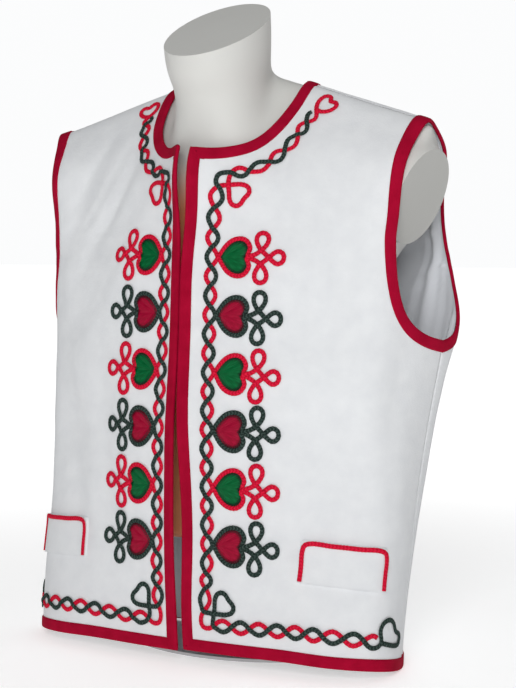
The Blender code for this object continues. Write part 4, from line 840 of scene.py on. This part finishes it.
def lifts_over(line, under):
    """How far a cord rises at each station where it passes over itself or over the one under it."""
    lengths, _, over = crossings(line, line, True)
    if under is not None:
        over = np.concatenate((over, crossings(line, under, False)[1]))
    lifts = np.zeros(len(line))
    for at in over:
        away = np.clip(np.abs(lengths - at) / LIFT_REACH, 0.0, 1.0)
        lifts = np.maximum(lifts, CORD_LIFT * np.cos(away * math.pi / 2) ** 2)
    return lifts


def cord(name, cloth, places, lifts, seat, finish, sides=10, width=CORD_WIDTH, height=CORD_HEIGHT):
    """A flat plaited cord along places on the cloth, with the plait's slanting strands standing out."""
    points, normals, _, _ = cloth.look(places)
    flow = unit(np.gradient(points, axis=0))
    aside = unit(np.cross(normals, flow))
    lengths = np.concatenate(([0.0], np.cumsum(np.linalg.norm(np.diff(points, axis=0), axis=1))))
    angles = 2 * math.pi * np.arange(sides) / sides
    plait = 1.0 + 0.07 * np.sin(2 * math.pi * lengths[:, None] / PLAIT_PITCH + 3.4 * np.abs(np.cos(angles)))
    out = np.cos(angles) * plait * width / 2
    up = np.maximum(height / 2 * (1.0 + np.sin(angles) * plait), 0.05)
    rings = points[:, None] + aside[:, None] * out[..., None]
    rings = rings + normals[:, None] * (up + seat + np.asarray(lifts)[:, None])[..., None]
    count = len(points)
    faces = [tuple(range(sides)), tuple(reversed(range((count - 1) * sides, count * sides)))]
    for i in range(count - 1):
        for k in range(sides):
            a, b = i * sides + k, i * sides + (k + 1) % sides
            faces.append((a, a + sides, b + sides, b))
    uv = np.stack(np.broadcast_arrays(lengths[:, None], angles[None] / (2 * math.pi)), axis=-1).reshape(-1, 2)
    if cloth.side > 0:
        faces = [face[::-1] for face in faces]
    return add_piece(name, rings.reshape(-1, 3), faces, finish, uv)


def small_heart(length, half):
    """Half of a small heart's outline from its tip to its cleft, as (out from the tip, aside)."""
    return ((0.15 * length, 0.46 * half), (0.40 * length, 0.86 * half), (0.70 * length, 1.00 * half),
            (0.92 * length, 0.84 * half), (0.98 * length, 0.48 * half), (0.84 * length, 0.0))


def mirrored_back(half):
    return half + tuple((a, -b) for a, b in reversed(half[:-1]))


def there_and_back(half):
    """A closed way from a tip along one half, and back along its mirror image."""
    return ((0.0, 0.0),) + mirrored_back(half) + ((0.0, 0.0),)


def over_cloth(cloth, start, turn, points):
    """Places on the cloth at (along, up) distances from a start, the two directions turned by an angle."""
    start = np.array(start, float)
    _, _, along, rise = (value[0] for value in cloth.look(start))
    out = unit(along)
    up = unit(rise - (rise @ out) * out)
    turned = math.cos(turn) * out + math.sin(turn) * up, math.cos(turn) * up - math.sin(turn) * out
    wanted = np.array([a * turned[0] + b * turned[1] for a, b in points])
    places = np.tile(start, (len(points), 1))
    for _ in range(4):
        places = places + cloth.steps(places, wanted / 4)
    return [tuple(place) for place in places]


def lobes(crossing_places, sign, swing):
    """A braid's way through crossings, swinging to one side and the other between them."""
    way = []
    for wave, (start, end) in enumerate(zip(crossing_places[:-1], crossing_places[1:])):
        start, end = np.array(start), np.array(end)
        aside = unit(np.array((start[1] - end[1], end[0] - start[0]))) * sign * (-1) ** wave * swing
        way.append([tuple(start)] + [tuple(start + (end - start) * share + aside * math.sin(math.pi * share))
                                     for share in WAVE_SHARES])
    return way


def raised(cloth, places):
    """Places of a front's chain, with the small rise or drop of its own side."""
    places = np.array(places, float)
    rise, shift = np.array(CHAIN_RISE[cloth.side]), np.array(CHAIN_SHIFT[cloth.side])
    places = places + np.stack((np.interp(places[:, 1], shift[:, 0], shift[:, 1]),
                                np.interp(places[:, 1], rise[:, 0], rise[:, 1])), axis=1)
    return [tuple(place) for place in places]


def front_crossings(cloth):
    return raised(cloth, [(29.4, FRONT_UPS[0]), (30.7, FRONT_UPS[1])] +
                  [(32.2 - 0.0095 * up - 1.3 * math.exp(-((up - 325.0) / 50.0) ** 2) * (cloth.side > 0), up)
                   for up in FRONT_UPS[2:-2]] + [(28.9, FRONT_UPS[-2]), (31.8, FRONT_UPS[-1])])


def motif_tip(cloth, wave):
    """Where the outline of a motif crosses itself, beside the chain."""
    low, high = np.array(front_crossings(cloth)[wave]), np.array(front_crossings(cloth)[wave + 1])
    return tuple((low + high) / 2 + (MOTIF_TIP[cloth.side], 0.0))


def chain_route(cloth, is_red):
    """One braid of a front from its hem end to its shoulder end, with its own hearts and knots."""
    sign = 1.0 if is_red else -1.0
    hem_stretch = 1.0 if cloth.side > 0 else RIGHT_HEM_STRETCH
    hem_crossings = raised(cloth, [(41.4 + (across - 41.4) * hem_stretch, up) for across, up in HEM_CROSSINGS])
    hem = [place for wave in lobes(hem_crossings, sign, CHAIN_SWING) for place in wave]
    route = list(reversed(hem[1:]))
    if is_red:
        route[0] = tuple(0.8 * np.array(route[0]) + 0.2 * np.array(route[1]))
    else:
        route = list(HEM_HEART) + route[1:]
    route.append(hem_crossings[0])
    route += raised(cloth, LOW_OUTSIDE) if is_red else over_cloth(cloth, raised(cloth, [LOW_LOOP])[0], 0.0, LOOP)
    own_hearts = MOTIF_WAVES[1::2] if is_red else MOTIF_WAVES[0::2]
    crossings_up = front_crossings(cloth)
    stretch = MOTIF_STRETCH[cloth.side]
    motif = tuple((out * stretch, aside) for out, aside in there_and_back(HEART_HALF + KNOT_HALF))
    for wave, way in enumerate(lobes(crossings_up, -sign, CHAIN_SWING)):
        if wave in own_hearts:
            turn = MOTIF_TURNS[cloth.side][MOTIF_WAVES.index(wave)]
            way = way[:2] + over_cloth(cloth, motif_tip(cloth, wave), turn, motif) + way[3:]
        route += way
    route.append(crossings_up[-1])
    if is_red:
        loop = [(out, -aside) for out, aside in reversed(LOOP)]
        route += over_cloth(cloth, raised(cloth, [HIGH_LOOP])[0], HIGH_TURN, loop)
    else:
        route += raised(cloth, HIGH_OUTSIDE)
    neck = raised(cloth, NECK_CROSSINGS[cloth.side])
    for way in lobes(neck, sign, NECK_SWING):
        route += way
    if is_red:
        turn, length, half = NECK_HEART[cloth.side]
        route += over_cloth(cloth, neck[-1], turn, there_and_back(small_heart(length, half)))
    return np.array(route)


red_braid = braid_material("red_braid", (0.66, 0.004, 0.034), (0.46, 0.001, 0.018), (0.74, 0.016, 0.055))
green_braid = braid_material("green_braid", (0.021, 0.040, 0.034), (0.009, 0.017, 0.014), (0.062, 0.088, 0.078))
for label, cloth in (("left", left_cloth), ("right", right_cloth)):
    red_line = smooth_line(chain_route(cloth, True), CORD_STEP)
    green_line = smooth_line(chain_route(cloth, False), CORD_STEP)
    red = cord("braid_strand_red_" + label, cloth, red_line, lifts_over(red_line, None), CORD_SEAT, red_braid)
    green = cord("braid_strand_green_" + label, cloth, green_line, lifts_over(green_line, red_line), CORD_SEAT,
                 green_braid)
    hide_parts("chain_red_" + label, *["motif_braid_%d_%s" % (n, label) for n in (1, 3, 5)])
    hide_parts("chain_green_" + label, *["motif_braid_%d_%s" % (n, label) for n in (2, 4, 6)])
    vest_parts[label] += [red, green]

# Satin hearts. Each is padded and filled with long silk stitches that fan out from its tip, deep green inside
# a red braid and crimson inside a green one, with a dark zigzag of thread worked over its edge.
HEART_RISE = 1.5
HEART_FLUTES = 6


def satin_material(name, colour, dark, light):
    """Silk stitches side by side: fine bands along the stitch, glossy, with a few darker gaps between, and painted
    shade that darkens the colour towards the heart's outline.
    """
    made, tree, shader = plain_material(name, colour, 0.42)
    shader.inputs["Specular IOR Level"].default_value = 0.12
    where = tree.nodes.new("ShaderNodeUVMap")
    spread = tree.nodes.new("ShaderNodeMapping")
    spread.inputs["Scale"].default_value = (90.0, 3.0, 1.0)
    stitches = tree.nodes.new("ShaderNodeTexNoise")
    stitches.inputs["Scale"].default_value = 1.0
    stitches.inputs["Detail"].default_value = 3.0
    ramp = tree.nodes.new("ShaderNodeValToRGB")
    ramp.color_ramp.elements[0].position = 0.32
    ramp.color_ramp.elements[0].color = dark + (1.0,)
    ramp.color_ramp.elements[1].position = 0.52
    ramp.color_ramp.elements[1].color = colour + (1.0,)
    top = ramp.color_ramp.elements.new(0.72)
    top.color = light + (1.0,)
    bump = tree.nodes.new("ShaderNodeBump")
    bump.inputs["Strength"].default_value = 0.5
    bump.inputs["Distance"].default_value = 0.0004
    tree.links.new(where.outputs["UV"], spread.inputs["Vector"])
    tree.links.new(spread.outputs["Vector"], stitches.inputs["Vector"])
    tree.links.new(stitches.outputs["Fac"], ramp.inputs["Fac"])
    # Painted shade: the colour darkens over the outer rim of the heart, where the padded satin rolls down to the felt
    place = tree.nodes.new("ShaderNodeSeparateXYZ")
    edge = tree.nodes.new("ShaderNodeMapRange")
    for socket, value in (("From Min", 0.80), ("From Max", 0.97), ("To Min", 1.0), ("To Max", 0.25)):
        edge.inputs[socket].default_value = value
    shade = tree.nodes.new("ShaderNodeVectorMath")
    shade.operation = "SCALE"
    tree.links.new(where.outputs["UV"], place.inputs[0])
    tree.links.new(place.outputs["Y"], edge.inputs["Value"])
    tree.links.new(ramp.outputs["Color"], shade.inputs[0])
    tree.links.new(edge.outputs["Result"], shade.inputs["Scale"])
    tree.links.new(shade.outputs["Vector"], shader.inputs["Base Color"])
    tree.links.new(stitches.outputs["Fac"], bump.inputs["Height"])
    tree.links.new(bump.outputs["Normal"], shader.inputs["Normal"])
    return made


def thread_material(name, colour):
    made, tree, shader = plain_material(name, colour, 0.7)
    where = tree.nodes.new("ShaderNodeTexCoord")
    twist = tree.nodes.new("ShaderNodeTexNoise")
    twist.inputs["Scale"].default_value = 1200.0
    bump = tree.nodes.new("ShaderNodeBump")
    bump.inputs["Strength"].default_value = 0.4
    bump.inputs["Distance"].default_value = 0.0002
    tree.links.new(where.outputs["Object"], twist.inputs["Vector"])
    tree.links.new(twist.outputs["Fac"], bump.inputs["Height"])
    tree.links.new(bump.outputs["Normal"], shader.inputs["Normal"])
    return made


SATIN_HALF = ((5.6, 5.2), (9.4, 10.0), (14.4, 14.4), (21.0, 17.2), (27.2, 16.4), (31.4, 12.2), (32.8, 7.4),
              (31.6, 3.2), (29.6, 0.0))


def heart_outline(inset, spacing):
    """The satin's closed outline inside the braid, as (out, aside) distances from the motif's tip."""
    middle = np.array((19.0, 0.0))
    side = smooth_line(((2.6, 0.0),) + SATIN_HALF, spacing)
    whole = np.concatenate((side, (side * (1.0, -1.0))[::-1][1:-1]))
    return whole + unit(middle - whole) * inset


def satin_heart(name, cloth, tip, turn, finish, node):
    outline = heart_outline(-0.8, 1.6)
    count = len(outline)
    shares = np.array((0.10, 0.28, 0.44, 0.58, 0.70, 0.80, 0.88, 0.94, 0.98, 1.0))
    root = outline[:1] + (5.0, 0.0)
    local = np.concatenate(((root + (outline[None] - root) * shares[:, None, None]).reshape(-1, 2), root))
    fan = np.arctan2(outline[:, 1], outline[:, 0] - outline[0, 0] + 3.0)
    flutes = 0.5 * np.abs(np.sin(fan * HEART_FLUTES + 0.4)) ** 0.5 * np.minimum(shares * 2.2, 1.0)[:, None]
    rise = HEART_RISE * (1.0 - shares[:, None] ** 6) * (0.55 + flutes)
    places = np.array(over_cloth(cloth, tip, turn, local))
    points, normals, _, _ = cloth.look(places)
    points = points + normals * (np.append(rise.ravel(), HEART_RISE * 0.6)[:, None] + 0.25)
    middle = len(points) - 1
    faces = [(middle, (k + 1) % count, k) for k in range(count)]
    for i in range(len(shares) - 1):
        for k in range(count):
            a, b = i * count + k, i * count + (k + 1) % count
            faces.append((a, b, b + count, a + count))
    around = np.arange(count) / count
    uv = np.stack(np.broadcast_arrays(around[None], shares[:, None]), axis=-1).reshape(-1, 2)
    uv = np.concatenate((uv, ((0.5, 0.0),)))
    piece = add_piece(name, points, faced_out(points, faces, normals), finish, uv)
    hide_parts(node)
    return piece


def edge_zigzag(name, cloth, tip, turn, finish):
    """Short slanting stitches to and fro over the heart's edge."""
    outline = heart_outline(0.2, 1.2)
    count = len(outline) // 2 * 2
    outline = outline[:count]
    middle = outline.mean(axis=0)
    inward = unit(middle - outline)
    zig = np.where(np.arange(count) % 2 == 0, 0.0, 2.1)[:, None]
    local = np.concatenate((outline + inward * zig, outline[:1]))
    places = np.array(over_cloth(cloth, tip, turn, local))
    lifts = np.full(len(places), HEART_RISE * 0.75) + np.where(np.arange(len(places)) % 2 == 0, -0.25, 0.35)
    piece = cord(name, cloth, places, lifts, 0.15, finish, 5, 1.1, 0.9)
    return piece


green_satin = satin_material("green_satin", (0.0, 0.115, 0.030), (0.0, 0.060, 0.015), (0.004, 0.160, 0.048))
crimson_satin = satin_material("crimson_satin", (0.330, 0.002, 0.028), (0.230, 0.001, 0.018), (0.400, 0.004, 0.038))
dark_green_thread = thread_material("dark_green_thread", (0.006, 0.020, 0.010))
dark_red_thread = thread_material("dark_red_thread", (0.050, 0.004, 0.010))
for label, cloth in (("left", left_cloth), ("right", right_cloth)):
    for place, wave in enumerate(MOTIF_WAVES):
        number = len(MOTIF_WAVES) - place
        turn = MOTIF_TURNS[cloth.side][place]
        is_green = number % 2 == 1
        tag = "_%d_%s" % (number, label)
        satin, thread = (green_satin, dark_green_thread) if is_green else (crimson_satin, dark_red_thread)
        vest_parts[label] += [
            satin_heart("satin_heart" + tag, cloth, motif_tip(cloth, wave), turn, satin, "heart" + tag),
            edge_zigzag("heart_edge" + tag, cloth, motif_tip(cloth, wave), turn, thread),
        ]

# Pocket welts. A rectangle of the same white felt with rounded top corners is sewn over each slit pocket, open
# below. A red braid is couched round its top and sides, a little in from the edge.
WELT_WIDTH = 95.0
WELT_HEIGHT = 44.0
WELT_RISE = 2.6
WELT_ACROSS = 131.0
WELT_UP = {1: 82.4, -1: 84.4}
WELT_TURN = -0.058
WELT_CELL = 2.0
BRAID_INSET = 3.6
BRAID_CORNER = 7.0


def welt_height(along, up):
    """The welt's height: soft round edges at the top and sides, a clean cut edge below."""
    reach = np.minimum(np.minimum(along, WELT_WIDTH - along), WELT_HEIGHT - up)
    corner = 5.0
    inner_x = np.maximum(np.maximum(corner - along, along - WELT_WIDTH + corner), 0.0)
    inner_y = np.maximum(up - WELT_HEIGHT + corner, 0.0)
    reach = np.minimum(reach, corner - np.hypot(inner_x, inner_y))
    return WELT_RISE * np.sqrt(np.clip(1.0 - (1.0 - np.clip(reach / 2.4, 0.0, 1.0)) ** 2, 0.0, 1.0))


for label, cloth in (("left", left_cloth), ("right", right_cloth)):
    columns = np.concatenate(([0.0, 0.6, 1.4], np.arange(2.5, WELT_WIDTH - 2.4, WELT_CELL),
                              [WELT_WIDTH - 1.4, WELT_WIDTH - 0.6, WELT_WIDTH]))
    rows = np.concatenate(([0.0, 0.01], np.arange(1.5, WELT_HEIGHT - 2.4, WELT_CELL),
                           [WELT_HEIGHT - 1.4, WELT_HEIGHT - 0.6, WELT_HEIGHT]))
    along, up = (grid.ravel() for grid in np.meshgrid(columns, rows))
    places = np.array(over_cloth(cloth, (WELT_ACROSS, WELT_UP[cloth.side]), WELT_TURN, np.stack((along, up), axis=1)))
    points, normals, _, _ = cloth.look(places)
    height = welt_height(along, up)
    height[up == 0.0] = 0.0
    points = points + normals * (height + 0.05)[:, None]
    wide = len(columns)
    faces = [(j * wide + i, j * wide + i + 1, (j + 1) * wide + i + 1, (j + 1) * wide + i)
             for j in range(len(rows) - 1) for i in range(wide - 1)]
    welt = add_piece("felt_welt_" + label, points, faced_out(points, faces, normals), white_felt)
    welt.data.set_sharp_from_angle(angle=math.radians(55))
    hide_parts("pocket_welt_" + label)
    right, top, near = WELT_WIDTH - BRAID_INSET, WELT_HEIGHT - BRAID_INSET, BRAID_INSET
    bend = BRAID_CORNER * (1.0 - math.sqrt(0.5))
    line = [(near, 1.0), (near, top / 2), (near, top - BRAID_CORNER), (near + bend, top - bend),
            (near + BRAID_CORNER, top)]
    line += [(near + BRAID_CORNER + (right - near - 2 * BRAID_CORNER) * k / 4, top) for k in (1, 2, 3)]
    line += [(right - BRAID_CORNER, top), (right - bend, top - bend), (right, top - BRAID_CORNER),
             (right, top / 2), (right, 1.0)]
    line = smooth_line(over_cloth(cloth, (WELT_ACROSS, WELT_UP[cloth.side]), WELT_TURN, line), CORD_STEP)
    welt_braid = cord("welt_braid_" + label, cloth, line, np.zeros(len(line)), WELT_RISE, red_braid)
    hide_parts("pocket_braid_" + label)
    vest_parts[label] += [welt, welt_braid]

# The dress form. A limbless moulded torso, smooth and off-white: chest and back under the vest, short arm
# stubs cut off flat, and a leaning neck closed with a slanting oval cap.
FORM_SECTIONS = (
    (107.0, 0.70, 8.0), (170.0, 0.68, 8.0), (232.0, 0.67, 8.0), (300.0, 0.68, 8.0), (360.0, 0.70, 8.0),
    (410.0, 0.73, 8.0), (450.0, 0.80, 8.0), (490.0, 0.90, 8.0), (529.0, 0.96, 8.0), (560.0, 1.0, 7.5),
    (590.0, 1.0, 6.5), (615.0, 1.0, 5.0), (631.0, 1.0, 4.0), (651.0, 1.0, 3.0),
)
# height, middle, half width, half depth, fall to the front
NECK_SECTIONS = (
    (505.0, -20.0, 62.0, 52.0, 0.0), (560.0, -22.0, 56.0, 52.0, 0.1), (592.0, -24.0, 51.0, 55.0, 0.2),
    (616.0, -30.0, 53.5, 58.0, 0.4), (636.0, -34.0, 56.0, 60.0, 0.5), (662.0, -37.5, 56.5, 61.0, 0.57),
    (700.0, -41.0, 56.5, 61.0, 0.57),
)
# The flat faces: a point, and the way out of the form
NECK_CUT = ((0.0, -36.5, 672.5), (0.0, -0.57, 1.0))
STUB_CUT = ((205.0, -5.0, 443.0), (1.0, -0.35, -0.41))
# Arm stubs: along the arm, middle, half depth, half height
STUB_MIDDLE = (222.0, -7.0, 491.0)
STUB_SECTIONS = ((-85.0, 14.0, 30.0, 60.0), (-40.0, 6.0, 32.0, 57.0), (0.0, 2.0, 34.0, 53.0), (60.0, -2.0, 34.5, 52.0))
STUB_SHORTER_ON_RIGHT = 10.0
SHELL_CELL = 4.0
SHELL_SOFTENING = 30


# The colour of the painted red bounce light on the chest
PAINTED_BOUNCE_COLOUR = (0.90, 0.34, 0.16)


def shell_material(name, tone):
    """Smooth moulded shell, faintly cloudy; a tone under 1 makes a darker copy for the cut faces, painted shade where
    they turn from the light.
    """
    made, tree, shader = plain_material(name, (0.67, 0.67, 0.645), 0.5)
    shader.inputs["Specular IOR Level"].default_value = 0.35
    where = tree.nodes.new("ShaderNodeTexCoord")
    cloudy = tree.nodes.new("ShaderNodeTexNoise")
    cloudy.inputs["Scale"].default_value = 9.0
    cloudy.inputs["Detail"].default_value = 5.0
    ramp = tree.nodes.new("ShaderNodeValToRGB")
    ramp.color_ramp.elements[0].color = (0.64 * tone, 0.64 * tone, 0.61 * tone, 1.0)
    ramp.color_ramp.elements[1].color = (0.70 * tone, 0.70 * tone, 0.675 * tone, 1.0)
    grain = tree.nodes.new("ShaderNodeTexNoise")
    grain.inputs["Scale"].default_value = 650.0
    bump = tree.nodes.new("ShaderNodeBump")
    bump.inputs["Strength"].default_value = 0.08
    bump.inputs["Distance"].default_value = 0.0005
    for texture in (cloudy, grain):
        tree.links.new(where.outputs["Object"], texture.inputs["Vector"])
    tree.links.new(cloudy.outputs["Fac"], ramp.inputs["Fac"])
    # Down the middle of the chest the colour carries painted reflected light: a warm cast of light bounced from the
    # crimson edges in front of it
    apart = tree.nodes.new("ShaderNodeSeparateXYZ")
    tree.links.new(where.outputs["Object"], apart.inputs["Vector"])
    near = tree.nodes.new("ShaderNodeMath")
    near.operation = "ABSOLUTE"
    tree.links.new(apart.outputs["X"], near.inputs[0])
    painted_bounce_share = None
    for distance, full, none in ((near.outputs["Value"], 0.036, 0.070), (apart.outputs["Y"], -0.060, -0.030),
                                 (apart.outputs["Z"], 0.470, 0.540)):
        fade = tree.nodes.new("ShaderNodeMapRange")
        fade.interpolation_type = "SMOOTHSTEP"
        for socket, value in (("From Min", full), ("From Max", none), ("To Min", 1.0), ("To Max", 0.0)):
            fade.inputs[socket].default_value = value
        tree.links.new(distance, fade.inputs["Value"])
        product = tree.nodes.new("ShaderNodeMath")
        product.operation = "MULTIPLY"
        product.inputs[1].default_value = 1.0
        tree.links.new(fade.outputs["Result"], product.inputs[0])
        if painted_bounce_share is not None:
            tree.links.new(painted_bounce_share, product.inputs[1])
        painted_bounce_share = product.outputs["Value"]
    painted_bounce_mix = tree.nodes.new("ShaderNodeMix")
    painted_bounce_mix.data_type = "RGBA"
    painted_bounce_mix.inputs["B"].default_value = PAINTED_BOUNCE_COLOUR + (1.0,)
    tree.links.new(painted_bounce_share, painted_bounce_mix.inputs["Factor"])
    tree.links.new(ramp.outputs["Color"], painted_bounce_mix.inputs["A"])
    tree.links.new(painted_bounce_mix.outputs["Result"], shader.inputs["Base Color"])
    tree.links.new(grain.outputs["Fac"], bump.inputs["Height"])
    tree.links.new(bump.outputs["Normal"], shader.inputs["Normal"])
    return made


def form_rings():
    """Dense sections of the torso, drawn in from the cloth's own sections."""
    ups = np.concatenate((np.arange(107.0, 560.0, 7.0), np.arange(560.0, 651.1, 3.5)))
    knots = [row[0] for row in FORM_SECTIONS]
    scale = np.interp(ups, knots, [row[1] for row in FORM_SECTIONS])
    inset = np.interp(ups, knots, [row[2] for row in FORM_SECTIONS])
    across = np.linspace(0.0, BACK_CENTRE, 97)
    weights_up = spline_weights([row[0] for row in FRONT_SECTIONS] + [RIDGE_UP + 35.0], ups)
    sections = section_net(1)
    sections[:, 0, 1] = sections[:, 1, 1] - 2.5
    net = np.einsum("ui,iac,ba->ubc", weights_up, sections, spline_weights(ALL_ACROSS, across))
    normals = unit(np.cross(np.gradient(net, axis=1), np.gradient(net, ups, axis=0)))
    points = net - normals * inset[:, None, None]
    points[..., 0] = np.maximum(points[..., 0], 0.0) * scale[:, None]
    points[..., 1] *= scale[:, None]
    points[:, (0, -1), 0] = 0.0
    points[-1] = (points[-1] + points[-1, ::-1]) / 2
    return points


def tube(rings):
    """Points and faces of a closed tube through rings of points, closed flat at both ends."""
    rows, around = rings.shape[:2]
    faces = [tuple(reversed(range(around))), tuple(range((rows - 1) * around, rows * around))]
    for i in range(rows - 1):
        for k in range(around):
            a, b = i * around + k, i * around + (k + 1) % around
            faces.append((a, b, b + around, a + around))
    return rings.reshape(-1, 3), faces


def cut_flat(body, point, way, reach):
    """Cuts off what lies beyond a plane, within reach, and closes the cut with one flat face."""
    near = [face for face in body.faces if reach(face.calc_center_median())]
    parts = set(near)
    for face in near:
        parts.update(face.edges)
        parts.update(face.verts)
    bmesh.ops.bisect_plane(body, geom=list(parts), plane_co=point, plane_no=way, clear_outer=True)
    bmesh.ops.edgeloop_fill(body, edges=[edge for edge in body.edges if edge.is_boundary])


half = form_rings()
parts = [tube(np.concatenate((half, (half * (-1.0, 1.0, 1.0))[:, -2:0:-1]), axis=1))]
neck_rows = spline_weights(np.arange(7), np.linspace(0.0, 6.0, 61)) @ np.array(NECK_SECTIONS)
turns = 2 * math.pi * np.arange(96) / 96
forward = neck_rows[:, 3:4] * np.cos(turns)
parts.append(tube(np.stack((
    neck_rows[:, 2:3] * np.sin(turns), neck_rows[:, 1:2] - forward,
    HEM_HEIGHT + neck_rows[:, 0:1] - neck_rows[:, 4:5] * forward), axis=-1)))
stub_way = unit(np.array(STUB_CUT[1]) * (1.0, 0.0, 1.0))
stub_up = np.array((-stub_way[2], 0.0, stub_way[0]))
stub = np.array([
    np.array(STUB_MIDDLE) + stub_way * far + np.array((0.0, middle, 0.0))
    + half_depth * np.cos(turns)[:, None] * np.array((0.0, -1.0, 0.0)) + half_height * np.sin(turns)[:, None] * stub_up
    for far, middle, half_depth, half_height in STUB_SECTIONS])
for side in (1, -1):
    points, faces = tube(stub * (side, 1.0, 1.0))
    parts.append((points, [face[::-1] for face in faces] if side > 0 else faces))
count = 0
all_points, all_faces = [], []
for points, faces in parts:
    all_points.append(points)
    all_faces += [tuple(v + count for v in face) for face in faces]
    count += len(points)
rough = bpy.data.meshes.new("rough_form")
rough.from_pydata((np.concatenate(all_points) * 0.001).tolist(), [], all_faces)
rough_form = bpy.data.objects.new("rough_form", rough)
bpy.context.scene.collection.objects.link(rough_form)
joining = rough_form.modifiers.new("joining", "REMESH")
joining.mode = "VOXEL"
joining.voxel_size = SHELL_CELL * 0.001
softening = rough_form.modifiers.new("softening", "SMOOTH")
softening.factor = 0.5
softening.iterations = SHELL_SOFTENING
joined_form = rough_form.evaluated_get(bpy.context.evaluated_depsgraph_get())
body = bmesh.new()
body.from_mesh(joined_form.to_mesh())
bpy.data.objects.remove(rough_form)
bpy.data.meshes.remove(rough)
bmesh.ops.scale(body, vec=(1000.0, 1000.0, 1000.0), verts=body.verts)
cut_flat(body, NECK_CUT[0], NECK_CUT[1], lambda place: place.z > 600.0)
for side in (1, -1):
    point, way = np.array(STUB_CUT) * (side, 1.0, 1.0)
    point[0] += STUB_SHORTER_ON_RIGHT * (side < 0)
    cut_flat(body, point, way, lambda place: place.x * side > 165.0 and place.z > 400.0)
body.verts.index_update()
shell = shell_material("form_shell", 1.0)
torso = add_piece("torso_shell", [tuple(vert.co) for vert in body.verts],
                  [tuple(vert.index for vert in face.verts) for face in body.faces], shell)
body.free()
torso.data.set_sharp_from_angle(angle=math.radians(40))
# The arm stubs' flat cut faces take the darker copy of the shell: painted shade
torso.data.materials.append(shell_material("form_cut_face_painted_shade", 0.66))
for face in torso.data.polygons:
    for side in (1, -1):
        if face.normal @ Vector(unit(np.array(STUB_CUT[1])) * (side, 1.0, 1.0)) > 0.9999 and len(face.vertices) > 12:
            face.material_index = 1
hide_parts("form_torso")

# The stand. A satin steel post with a collar at each end holds the torso over an oval steel plate.
POST_RADIUS = 18.0
PLATE = (130.0, 85.0, 5.0)


def steel_material():
    made, tree, shader = plain_material("satin_steel", (0.55, 0.55, 0.56), 0.36)
    shader.inputs["Metallic"].default_value = 1.0
    where = tree.nodes.new("ShaderNodeTexCoord")
    stretch = tree.nodes.new("ShaderNodeMapping")
    stretch.inputs["Scale"].default_value = (1.0, 1.0, 60.0)
    lines = tree.nodes.new("ShaderNodeTexNoise")
    lines.inputs["Scale"].default_value = 40.0
    spread = tree.nodes.new("ShaderNodeMapRange")
    spread.inputs["To Min"].default_value = 0.26
    spread.inputs["To Max"].default_value = 0.46
    tree.links.new(where.outputs["Object"], stretch.inputs["Vector"])
    tree.links.new(stretch.outputs["Vector"], lines.inputs["Vector"])
    tree.links.new(lines.outputs["Fac"], spread.inputs["Value"])
    tree.links.new(spread.outputs["Result"], shader.inputs["Roughness"])
    return made


def turned(name, profile, sides, stretch, finish, node):
    """A turned or oval solid from a profile of (share of the full size or radius, height)."""
    angles = 2 * math.pi * np.arange(sides) / sides
    rings = np.array([[(stretch[0] * r * math.cos(t), stretch[1] * r * math.sin(t), z) for t in angles]
                      for r, z in profile])
    faces = [tuple(reversed(range(sides))), tuple(range((len(profile) - 1) * sides, len(profile) * sides))]
    for i in range(len(profile) - 1):
        for k in range(sides):
            a, b = i * sides + k, i * sides + (k + 1) % sides
            faces.append((a, b, b + sides, a + sides))
    piece = add_piece(name, rings.reshape(-1, 3), faces, finish)
    piece.data.set_sharp_from_angle(angle=math.radians(30))
    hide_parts(node)
    return piece


steel = steel_material()
post_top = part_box("form_post")[1][2] * 1000
turned("stand_post", ((POST_RADIUS + 6, 5.2), (POST_RADIUS + 6, 12.0), (POST_RADIUS + 4, 14.0), (POST_RADIUS, 14.0),
                      (POST_RADIUS, post_top - 8.0), (POST_RADIUS + 5, post_top - 8.0),
                      (POST_RADIUS + 5, post_top)), 64, (1.0, 1.0), steel, "form_post")
turned("stand_plate", ((0.985, 0.0), (1.0, 1.0), (1.0, 3.8), (0.990, 5.0)), 128, PLATE[:2], steel, "form_base")

# The area of the cloth as it was cut
def cut_area(places, triangles):
    corners = np.array(places)[np.array(triangles)]
    a, b = corners[:, 1] - corners[:, 0], corners[:, 2] - corners[:, 0]
    return float(np.abs(a[:, 0] * b[:, 1] - a[:, 1] * b[:, 0]).sum() / 2e6)
